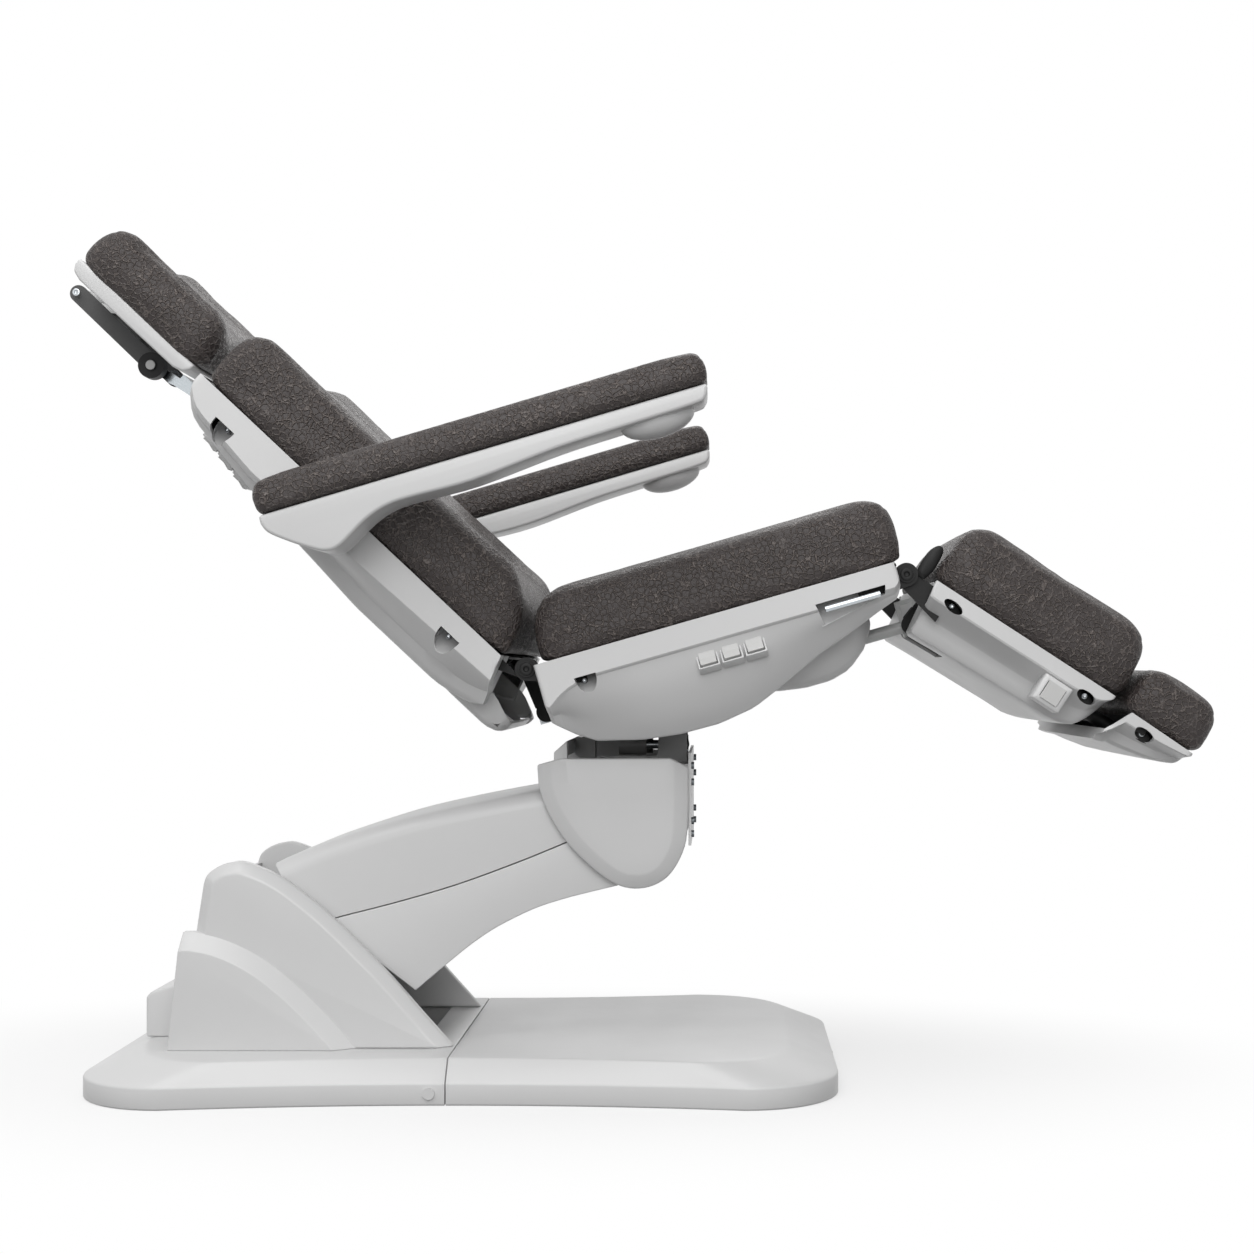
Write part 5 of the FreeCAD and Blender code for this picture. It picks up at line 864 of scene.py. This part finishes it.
def foot_section(x):
    """Half section of the foot shell at a place along the leg rest."""
    depth = follow([(338, 14), (346, 28), (356, 46), (380, 42), (414, 34), (440, 24), (453, 17), (457, 8)], x)
    top = follow([(338, -30), (346, -15), (354, 2), (357, 8), (457, 6)], x)
    return scaled_section(FOOT_PROFILE, x, 336, 458, 8, depth + 4, top)


def eyelet(shell, place, x, z, side, depth):
    """Oval screw eye cut into a shell's lower edge, with a dark back and a bright screw."""
    long, short, back_depth = 15, 7, 32
    spot = place @ slanted(x, z, -6)
    oval = [(long * math.cos(t), short * math.sin(t)) for t in [2 * math.pi * k / 28 for k in range(28)]]
    cut(shell, [slab("cutter", spot, oval, side * (depth - 45), side * (depth + 20))])
    wide = [(x * 1.15, z * 1.2) for x, z in oval]
    back = slab("eye", spot, wide, side * (depth - back_depth), side * (depth - back_depth + 2), [(2, 1.5)])
    screw = slab("eye_screw", spot, circle_line(-1, 1, 4.2, 20), side * (depth - back_depth + 1),
                 side * (depth - back_depth + 13), [(0.9, 0.8), (1.2, -1.4)])
    return soften(back, 0.6, 2), soften(screw, 0.4, 2)


def eyelets(shell, body, spots):
    """Screw eyes of one shell, their dark backs as one piece and their screws as another."""
    made = [eyelet(shell, *spot) for spot in spots]
    backs = join([back for back, screw in made])
    backs.name = body + "_eyes"
    settle(backs, "black_plastic", body)
    screws = join([screw for back, screw in made])
    screws.name = body + "_eye_screws"
    settle(screws, "steel", body)


class BED_OT_leg_shells(bpy.types.Operator):
    """Shells under the leg and foot cushions, with their screw eyes and the button's housing"""
    bl_idname = "bed.leg_shells"
    bl_label = "Leg and foot shells"

    def execute(self, context):
        def lean(x, z):
            """The end wall beside the hinge slopes away from it."""
            return 10 * max(0, 1 - (x - 38) / 60) * max(0, min(1, (10 - z) / 50))
        stations = spread(38, 326, 26, [41, 46, 300, 306, 312, 317, 321, 324])
        leg = tub("leg_moulding", LEG, stations, leg_section, lean)
        cut(leg, [
            # Lugs of the hinge, the drive's rod and the rails of the foot rest
            *blocks_beside(LEG, 20, 44, 238, 266, -40, 30), block(LEG, 20, 110, -170, -90, -80, 30),
            *blocks_beside(LEG, 280, 340, 136, 164, -30, 2),
        ])
        low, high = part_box("leg_button")
        housing = button_housing((low + high) / 2)
        foot = tub("foot_moulding", LEG, spread(338, 457, 18, [350, 354, 357, 446, 450, 454]), foot_section)
        cut(foot, blocks_beside(LEG, 310, 352, 136, 164, -30, 2))
        eyelets(leg, "leg", [(LEG, x, z, side, 283) for x, z in ((76, -4), (294, -8)) for side in SIDES])
        eyelets(foot, "foot", [(LEG, 388, -8, side, 280) for side in SIDES])
        cover(join([smooth(leg, 28), housing]), "leg", "leg_shell")
        cover(smooth(foot, 28), "foot", "foot_shell")
        leaf = rounded([(10, 8), (8, 30), (10, 48), (17, 58), (25, 55), (28, 40), (28, 22), (24, 8)], 4)
        near = soften(slab("hinge_guard_near", LEG, leaf, -244, -258, [(5, 3)]), 1.5, 3)
        settle(across_copy(near, "hinge_guard_far"), "black_steel", "leg")
        settle(near, "black_steel", "leg")
        return {"FINISHED"}


def button_housing(middle):
    """Square housing that stands off the leg shell round its push button."""
    length, depth, height, rim, well, setback = 42, 44, 38, 3.2, 9, 20
    clear_selection()
    bpy.ops.mesh.primitive_cube_add(size=1)
    box = bpy.context.object
    box.name = "button_housing"
    box.data.transform(Matrix.Diagonal((length * MM, depth * MM, height * MM, 1)))
    bpy.ops.object.mode_set(mode="EDIT")
    pick_faces(box, lambda centre, normal: normal.y < -0.9)
    bpy.ops.mesh.inset(thickness=4 * MM, depth=2 * MM)
    bpy.ops.mesh.inset(thickness=rim * MM, depth=0)
    bpy.ops.mesh.inset(thickness=0.4 * MM, depth=-well * MM)
    bpy.ops.object.mode_set(mode="OBJECT")
    soften(box, 1.4, 2)
    local = LEG.to_3x3().to_4x4()
    box.data.transform(Matrix.Translation(middle) @ local @ Matrix.Translation((0, setback * MM, 0)))
    return box


class BED_OT_armrest_carriers(bpy.types.Operator):
    """Moulded carriers under the arm pads, with a hub at the back and a grip at the front"""
    bl_idname = "bed.armrest_carriers"
    bl_label = "Armrest carriers"

    def execute(self, context):
        under = rounded([(539, 24), (533, 13), (515, 8), (418, 6), (332, 4), (217, -5), (140, -3), (103, -4),
                         (70, -14), (30, -36), (10, -38), (-10, -28), (-36, -10), (-55, 6), (-61, 19)], 4)
        rail = slab("carrier", ARMREST, [(-61, 29.8), (540, 29.8)] + under, -334, -421)
        soften(rail, 6.5, 4, 40)
        hub = soften(slab("hub", ARMREST, circle_line(0, 0, 27.5, 40), -308.5, -338), 2, 2)
        clear_selection()
        bpy.ops.mesh.primitive_uv_sphere_add(segments=40, ring_count=20, radius=1)
        grip = bpy.context.object
        grip.name = "grip"
        grip.data.transform(ARMREST @ Matrix.Translation((466 * MM, ARM_MIDDLE * MM, 8 * MM))
                            @ Matrix.Diagonal((50 * MM, 33 * MM, 24 * MM, 1)))
        near = join([rail, hub, smooth(grip, 60)])
        near.name = "arm_carrier_near"
        smooth(near, 40)
        far = across_copy(near, "arm_carrier_far")
        cover(near, "armrest_near", "armrest_carrier_near")
        cover(far, "armrest_far", "armrest_carrier_far")
        return {"FINISHED"}


class BED_OT_hinge_bolts(bpy.types.Operator):
    """Dark bolt heads on the outer lugs of the back and leg hinges"""
    bl_idname = "bed.hinge_bolts"
    bl_label = "Hinge bolts"

    def execute(self, context):
        bolts = []
        for place in (BACK, LEG):
            bolt = slab("bolt", place, circle_line(0, 0, 9, 32), -264, -267.5, [(1, 0.6), (4, 0), (1.2, -2)])
            near = soften(bolt, 0.5, 2)
            bolts += [near, across_copy(near, "bolt")]
        bolts = join(bolts)
        bolts.name = "hinge_bolts"
        settle(bolts, "black_plastic", "seat")
        return {"FINISHED"}


# Ends of the headrest bars, on which the tray swings, and the pin of the locking knob
BAR_END = (-868.5, -61)
KNOB = (-713, -63)


class BED_OT_headrest_tray(bpy.types.Operator):
    """Thin moulded tray under the head cushion, turned up round its edge"""
    bl_idname = "bed.headrest_tray"
    bl_label = "Headrest tray"

    def execute(self, context):
        edge = [(-858, -14), (-638, -14), (-638, -22), (-645, -31), (-660, -36), (-838, -37), (-852, -33),
                (-858, -24)]
        tray = slab("head_tray_moulding", BACK, edge, -178, 178)
        soften(tray, 3, 3, 30)
        turns = [math.radians(170 + 12 * k) for k in range(16)]
        hook = [(BAR_END[0] + 11 * math.cos(t), BAR_END[1] + 11 * math.sin(t)) for t in turns]
        hook += [(-812, -30), (-840, -30)]
        lugs = [slab("lug", BACK, hook, side * 43.5, side * 48.8) for side in SIDES]
        tray = join([tray] + [soften(lug, 0.8, 2) for lug in lugs])
        smooth(tray, 40)
        cover(tray, "headrest", "headrest_tray")
        return {"FINISHED"}


class BED_OT_headrest_fittings(bpy.types.Operator):
    """Grey hub of the locking knob and the bright eyes at the end of the headrest bars"""
    bl_idname = "bed.headrest_fittings"
    bl_label = "Headrest fittings"

    def execute(self, context):
        low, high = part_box("headrest_knob")
        face = low.y / MM
        hub = slab("knob_hub", BACK, circle_line(*KNOB, 7, 28), face + 2, face - 0.6,
                   [(1.2, 0.5), (3.5, -1.0)])
        settle(soften(hub, 0.5, 2), "switch_grey", "head_knob")
        low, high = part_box("headrest_arm")
        eyes = []
        for side, edge in zip(SIDES, (low.y / MM, high.y / MM)):
            eye = slab("bar_eye", BACK, circle_line(*BAR_END, 5.4, 24), edge - side * 2, edge + side * 0.6,
                       [(2.4, 0.2), (0.3, -3)])
            eyes.append(soften(eye, 0.3, 2))
        bars = join(eyes)
        settle(bars, "steel", "head_arm")
        return {"FINISHED"}


# Cushions

def hollow(share):
    """Part of the full dip that a pad's top has at a share of its half width."""
    t = min(1, (1 - share) / 0.62)
    return t * t * (3 - 2 * t)


def pad_ring(pad, draw, reach):
    """One closed section of a pad: flat underneath, bulged sides, round edges, a crown or a dip on top."""
    half, top, bottom = pad.half - draw, pad.high - draw, pad.low + draw * 0.35
    edge = min(pad.edge, (top - bottom) * 0.45, half * 0.4)
    foot, bulge = 5, 4
    side = [((half - foot) * k / 6, bottom) for k in range(6)]
    for k in range(4):
        turn = math.radians(-90 + 90 * k / 3)
        side.append((half - foot - bulge + foot * math.cos(turn), bottom + foot + foot * math.sin(turn)))
    rise = top - edge - bottom - foot
    for k in range(1, 4):
        t = k / 4
        side.append((half - bulge + bulge * math.sin(math.pi * t), bottom + foot + rise * t))
    shoulder = half - 2 - edge
    for k in range(7):
        turn = math.radians(90 * k / 6)
        side.append((shoulder + edge * math.cos(turn), top - edge + edge * math.sin(turn)))
    for k in range(1, 11):
        y = shoulder * (1 - k / 10)
        side.append((y, top - pad.dip * (hollow(y / half) if pad.dip > 0 else 1 - (y / half) ** 2)))
    ring = side + [(-y, z) for y, z in reversed(side[1:-1])]
    return [pad.place @ (Vector((reach(z), pad.centre + y, z)) * MM) for y, z in ring]


def pad_rows(pad):
    """Rings of a pad from its rear line to its front line, with ends rounded by a radius."""
    middle, turn = (pad.low + pad.high) / 2, pad.turn
    length = follow(pad.front, middle) - follow(pad.rear, middle)
    start = [turn * share for share in (0, 0.1, 0.3, 0.6, 1.0)]
    marks = start + [turn + (length - 2 * turn) * k / 10 for k in range(1, 10)]
    rows = []
    for mark in marks + [length - m for m in reversed(start)]:
        away = min(mark, length - mark)
        draw = turn - math.sqrt(turn ** 2 - (turn - away) ** 2) if away < turn else 0

        def reach(z, share=mark / length):
            """Place along the pad at a height, a share of the way from its rear line to its front line."""
            return follow(pad.rear, z) * (1 - share) + follow(pad.front, z) * share
        rows.append(pad_ring(pad, draw * 0.8, reach))
    return rows


# A pad's rear and front lines are pairs of height and place along its group. Edge is the radius of its top
# edge, dip how far its middle lies below its sides, turn the radius of its ends, centre its place across.
Pad = namedtuple("Pad", "body node place rear front half low high edge dip turn centre", defaults=[0])
PADS = {
    "seat_pad": Pad(
        "seat", "seat_cushion", SEAT, [(0, 12), (15, 13), (46, 15), (80, 25), (100, 32)],
        [(0, 526), (20, 531), (45, 533), (80, 531), (100, 528)],
        half=302, low=0.5, high=93, edge=25, dip=-5, turn=34),
    "back_pad": Pad(
        "back", "back_cushion", BACK, [(-10, -586), (20, -590), (50, -591), (90, -588)],
        [(-10, -28), (0, -28), (42, -41), (72, -66), (90, -84)],
        half=302, low=-9.3, high=88, edge=26, dip=15, turn=34),
    "head_pad": Pad(
        "headrest", "headrest_cushion", BACK, [(-18, -862), (20, -866), (64, -862)],
        [(-18, -632), (20, -629), (64, -634)],
        half=187, low=-17.3, high=61, edge=24, dip=11, turn=34),
    "leg_pad": Pad(
        "leg", "leg_cushion", LEG, [(12, 34), (21, 33), (80, 29), (120, 30)],
        [(12, 331), (30, 336), (73, 336), (120, 331)],
        half=287, low=12.6, high=112, edge=26, dip=-5, turn=36),
    "foot_pad": Pad(
        "foot", "foot_cushion", LEG, [(5, 345), (72, 344), (86, 347)],
        [(5, 462), (14, 466), (66, 464), (86, 458)],
        half=282, low=6.8, high=80, edge=22, dip=-4, turn=26),
    "arm_pad_near": Pad(
        "armrest_near", "armrest_pad_near", ARMREST, [(30, -62), (50, -64), (78, -60)],
        [(30, 543), (50, 546), (78, 541)],
        half=51, low=30.6, high=73, edge=14, dip=-3, turn=13, centre=ARM_MIDDLE),
}

# Cloth settings of the filling, and the number of frames that it is blown up for
FILLING = {
    "quality": 4, "mass": 0.3, "tension_stiffness": 15, "compression_stiffness": 15, "bending_stiffness": 1.5,
    "use_pressure": True, "uniform_pressure_force": 4, "vertex_group_mass": "held",
}
FILL_FRAMES = 20


def seen_from(place, piece):
    """Corners of a piece in a group's own directions."""
    inverse = place.inverted()
    return [inverse @ corner.co for corner in piece.data.vertices]


def surface(piece):
    """Tree of a piece's faces, for finding where a ray meets it."""
    return BVHTree.FromObject(piece, bpy.context.evaluated_depsgraph_get())


def fill_pads(pads):
    """Blow the pads up softly with cloth pressure, each point held to a small swell, the underside flat."""
    scene = bpy.context.scene
    held_height = 5 * MM
    starts = {}
    for piece, pad in pads:
        held = piece.vertex_groups.new(name="held")
        heights = [point.z for point in seen_from(pad.place, piece)]
        low = min(heights)
        held.add([i for i, z in enumerate(heights) if z < low + held_height], 1.0, "REPLACE")
        starts[piece.name] = [corner.co.copy() for corner in piece.data.vertices]
        cloth = piece.modifiers.new("filling", "CLOTH")
        for name, value in FILLING.items():
            setattr(cloth.settings, name, value)
        cloth.settings.effector_weights.gravity = 0
        cloth.collision_settings.use_collision = False
        cloth.point_cache.frame_end = FILL_FRAMES
    for number in range(1, FILL_FRAMES + 1):
        scene.frame_set(number)
    graph = bpy.context.evaluated_depsgraph_get()
    for piece, pad in pads:
        cap = scene.bed_sizes.narrow_puff if pad.centre else scene.bed_sizes.pad_puff
        swollen = [corner.co.copy() for corner in piece.evaluated_get(graph).data.vertices]
        piece.modifiers.remove(piece.modifiers["filling"])
        piece.vertex_groups.clear()
        for corner, start, end in zip(piece.data.vertices, starts[piece.name], swollen):
            move = end - start
            if move.length > cap:
                move *= cap / move.length
            corner.co = start + move
    scene.frame_set(1)


def seam_line(piece, pad, drop):
    """Closed line round a pad's sides, on its surface, a little below the top edge."""
    count, squareness, outside = 240, 0.25, 1.2
    tree = surface(piece)
    along = [point.x for point in seen_from(pad.place, piece)]
    low, high = min(along), max(along)
    points = []
    for k in range(count):
        turn = 2 * math.pi * k / count
        c, s = (math.copysign(abs(v) ** squareness, v) for v in (math.cos(turn), math.sin(turn)))
        # Along the ends the line sinks with the top of a hollow pad
        sink = max(pad.dip, 0) * hollow(min(1, abs(s) / max(abs(c), 0.01)))
        middle = Vector(((low + high) / 2, pad.centre * MM, (pad.high - drop - sink) * MM))
        reach = Vector((c * (high - low) / 2, s * pad.half * MM, 0)) * outside
        inwards = pad.place.to_3x3() @ -reach.normalized()
        hit, normal = tree.ray_cast(pad.place @ (middle + reach), inwards)[:2]
        if hit is not None:
            points.append((hit, normal))
    return points


def wing_line(piece, pad, y):
    """Line along a pad's top where a side wing meets the hollow middle."""
    count, margin, above = 90, 26 * MM, 0.3
    tree = surface(piece)
    along = [point.x for point in seen_from(pad.place, piece)]
    low, high = min(along) + margin, max(along) - 3 * margin
    down = pad.place.to_3x3() @ Vector((0, 0, -1))
    points = []
    for k in range(count):
        start = pad.place @ Vector((low + (high - low) * k / (count - 1), y * MM, above))
        hit, normal = tree.ray_cast(start, down)[:2]
        if hit is not None:
            points.append((hit, normal))
    return points


def sew(pad, lines, radius):
    """A sewn cord along lines of points, sunk a little into the cover; a line that comes round is closed."""
    sunk, closing = 1.3 * MM, 30 * MM
    line = bpy.data.curves.new(pad.name + "_seam", "CURVE")
    line.dimensions = "3D"
    line.bevel_depth = radius * MM
    line.bevel_resolution = 2
    for points in lines:
        spline = line.splines.new("POLY")
        spline.points.add(len(points) - 1)
        for knot, (point, normal) in zip(spline.points, points):
            knot.co = (*(point - normal * sunk), 1)
        spline.use_cyclic_u = (points[0][0] - points[-1][0]).length < closing
    seam = bpy.data.objects.new(pad.name + "_seam", line)
    bpy.context.scene.collection.objects.link(seam)
    choose(seam)
    bpy.ops.object.convert(target="MESH")
    return smooth(bpy.context.object, 60)


def press_seam(pad, lines, width, depth):
    """Draw the cover in along sewn lines."""
    from_line = bmesh.new()
    for points in lines:
        for (a, _), (b, _) in zip(points, points[1:]):
            from_line.faces.new([from_line.verts.new(p) for p in (a, b, (a + b) / 2 + Vector((0, 0, 1e-5)))])
    tree = BVHTree.FromBMesh(from_line)
    outwards = [normal.vector.copy() for normal in pad.data.vertex_normals]
    for corner, normal in zip(pad.data.vertices, outwards):
        near = tree.find_nearest(corner.co, width * MM)
        if near[0] is not None:
            share = 1 - near[3] / (width * MM)
            corner.co -= normal * depth * MM * share * share
    from_line.free()


class BED_OT_cushions(bpy.types.Operator):
    """Seven upholstered pads, filled by cloth pressure, with a sewn line below the top edge"""
    bl_idname = "bed.cushions"
    bl_label = "Cushions"

    def execute(self, context):
        sizes = context.scene.bed_sizes
        made = []
        for name, pad in PADS.items():
            piece = skin(name, pad_rows(pad))
            modify(piece, "REMESH", mode="VOXEL", voxel_size=sizes.pad_cell * (0.8 if pad.centre else 1))
            modify(piece, "SMOOTH", factor=0.5, iterations=4)
            made.append((piece, pad))
        fill_pads(made)
        for piece, pad in made:
            modify(piece, "SUBSURF", levels=1, render_levels=1)
            lines = [seam_line(piece, pad, sizes.seam_drop / MM * (0.6 if pad.centre else 1))]
            if pad.dip > 0:
                lines += [wing_line(piece, pad, side * pad.half * 0.6) for side in SIDES]
            press_seam(piece, lines, width=6, depth=1.2)
            seam = sew(piece, lines, radius=0.7)
            dress(smooth(piece, 80), pad.body, pad.node)
            settle(seam, "upholstery", pad.body)
            if pad.centre:
                dress(across_copy(piece, "arm_pad_far"), "armrest_far", "armrest_pad_far")
                settle(across_copy(seam, "arm_pad_far_seam"), "upholstery", "armrest_far")
        return {"FINISHED"}


def dress(pad, body, node):
    """Give a pad its cover, its body and the frame piece that it stands for."""
    settle(pad, "upholstery", body, node)
    return pad


# Carried pieces and stage

class BED_OT_frame_finishes(bpy.types.Operator):
    """Finishes of the steel, drives, pins and switches that keep their frame shape"""
    bl_idname = "bed.frame_finishes"
    bl_label = "Frame finishes"

    def execute(self, context):
        made = finishes()
        for part in frame["record"]["subparts"]:
            node = frame["nodes"][part["node"]]
            node.data.materials.clear()
            finish = NODE_FINISH.get(part["node"], SLOT_FINISH[part["material_slot"]])
            node.data.materials.append(made[finish])
        return {"FINISHED"}


# The camera stands level beside the bed, and its lens is shifted to frame the bed as photographed
CAMERA_PLACE = (0.3555, -3.0, 0.582)
LENS, SENSOR = 57.73, 36
SHIFT_X, SHIFT_Y = -0.0718, 0.0383

# Each lamp: name, place and aim in metres, size in metres, power in watts
LAMPS = (
    ("key_lamp", (-0.6, -1.6, 3.6), (0.2, 0, 0.5), 2.6, 58),
    ("fill_lamp", (0.2, -4.0, 2.2), (0.2, 0, 0.6), 2.6, 74),
    ("back_lamp", (0.4, 2.8, 2.6), (0.2, 0, 0.6), 2.4, 16),
)


class BED_OT_stage(bpy.types.Operator):
    """Pale floor, soft studio light and the camera beside the bed"""
    bl_idname = "bed.stage"
    bl_label = "Stage"

    def execute(self, context):
        scene = context.scene
        scene.view_settings.view_transform = "Standard"
        camera = bpy.data.objects.new("camera", bpy.data.cameras.new("camera"))
        scene.collection.objects.link(camera)
        camera.location = CAMERA_PLACE
        camera.rotation_euler = (math.radians(90), 0, 0)
        camera.data.lens = LENS
        camera.data.sensor_width = SENSOR
        camera.data.shift_x = SHIFT_X
        camera.data.shift_y = SHIFT_Y
        scene.camera = camera
        clear_selection()
        bpy.ops.mesh.primitive_plane_add(size=60)
        floor = context.object
        floor.name = "floor"
        floor.data.materials.append(self.floor_paper())
        self.sky(scene)
        for name, place, aim, size, power in LAMPS:
            lamp = bpy.data.objects.new(name, bpy.data.lights.new(name, "AREA"))
            scene.collection.objects.link(lamp)
            lamp.data.size = size
            lamp.data.energy = power
            lamp.location = place
            lamp.rotation_euler = (Vector(aim) - Vector(place)).to_track_quat("-Z", "Y").to_euler()
        return {"FINISHED"}

    def floor_paper(self):
        """White paper sweep: it glows white to the camera and keeps a soft shadow."""
        material, tree, shader, place = new_finish("white_paper", 0.0, 0.9)
        drawn = add_node(tree, "ShaderNodeMapping", None, {"Vector": (place, "Object"), "Scale": (1, 1.7, 1)})
        away = add_node(tree, "ShaderNodeVectorMath", {"operation": "LENGTH"}, {0: (drawn, "Vector")})
        far = add_node(tree, "ShaderNodeMapRange", {"interpolation_type": "SMOOTHSTEP"}, {
            "Value": (away, "Value"), "From Min": 0.5, "From Max": 1.35, "To Min": 0.62, "To Max": 1.0})
        seen = self.plain_rays(tree)
        share = add_node(tree, "ShaderNodeMath", {"operation": "MULTIPLY"}, {
            0: (seen, "Value"), 1: (far, "Result")})
        # Darker to the light that it throws back up, so that undersides keep their depth
        tone = add_node(tree, "ShaderNodeMix", {"data_type": "RGBA"}, {
            0: (seen, "Value"), 6: (0.2, 0.2, 0.2, 1), 7: (0.84, 0.84, 0.84, 1)})
        tree.links.new(tone.outputs[2], shader.inputs["Base Color"])
        glow = add_node(tree, "ShaderNodeEmission", None, {"Color": (1, 1, 1, 1), "Strength": 1.0})
        mix = add_node(tree, "ShaderNodeMixShader", None, {
            0: (share, "Value"), 1: (shader, "BSDF"), 2: (glow, "Emission")})
        tree.links.new(mix.outputs["Shader"], tree.nodes["Material Output"].inputs["Surface"])
        return material

    def sky(self, scene):
        """Even white surroundings; plain white where the camera or a reflection sees them."""
        world = bpy.data.worlds.new("studio")
        scene.world = world
        world.use_nodes = True
        tree = world.node_tree
        back = tree.nodes["Background"]
        back.inputs["Color"].default_value = (1, 1, 1, 1)
        back.inputs["Strength"].default_value = 0.5
        white = add_node(tree, "ShaderNodeBackground", None, {"Color": (1, 1, 1, 1), "Strength": 1.0})
        mix = add_node(tree, "ShaderNodeMixShader", None, {
            0: (self.plain_rays(tree), "Value"), 1: (back, "Background"), 2: (white, "Background")})
        tree.links.new(mix.outputs["Shader"], tree.nodes["World Output"].inputs["Surface"])

    def plain_rays(self, tree):
        """One where the camera, a reflection or a clear piece looks at the surroundings."""
        rays = add_node(tree, "ShaderNodeLightPath")
        mirrored = add_node(tree, "ShaderNodeMath", {"operation": "MAXIMUM"}, {
            0: (rays, "Is Glossy Ray"), 1: (rays, "Is Transmission Ray")})
        return add_node(tree, "ShaderNodeMath", {"operation": "MAXIMUM"}, {
            0: (rays, "Is Camera Ray"), 1: (mirrored, "Value")})


OPERATORS = (
    BED_OT_stage, BED_OT_frame_finishes, BED_OT_base_covers, BED_OT_tower_covers, BED_OT_service_box,
    BED_OT_arm_covers, BED_OT_carriage_covers, BED_OT_seat_shell, BED_OT_back_shell, BED_OT_leg_shells,
    BED_OT_hinge_bolts, BED_OT_armrest_carriers, BED_OT_headrest_tray, BED_OT_headrest_fittings,
    BED_OT_cushions,
)


class BED_PT_panel(bpy.types.Panel):
    """Steps that build the bed, with their sizes and colours"""
    bl_idname = "BED_PT_panel"
    bl_label = "Facial bed"
    bl_space_type = "VIEW_3D"
    bl_region_type = "UI"
    bl_category = "Bed"

    def draw(self, context):
        for group in (context.scene.bed_sizes, context.scene.bed_colours):
            for name in group.__annotations__:
                self.layout.prop(group, name)
        for operator in OPERATORS:
            self.layout.operator(operator.bl_idname)


CLASSES = (BedSizes, BedColours) + OPERATORS + (BED_PT_panel,)


def register():
    for item in CLASSES:
        bpy.utils.register_class(item)
    bpy.types.Scene.bed_sizes = bpy.props.PointerProperty(type=BedSizes)
    bpy.types.Scene.bed_colours = bpy.props.PointerProperty(type=BedColours)


def unregister():
    del bpy.types.Scene.bed_colours
    del bpy.types.Scene.bed_sizes
    for item in reversed(CLASSES):
        bpy.utils.unregister_class(item)


def main():
    register()
    for operator in OPERATORS:
        group, name = operator.bl_idname.split(".")
        getattr(getattr(bpy.ops, group), name)()


if __name__ == "__main__":
    main()
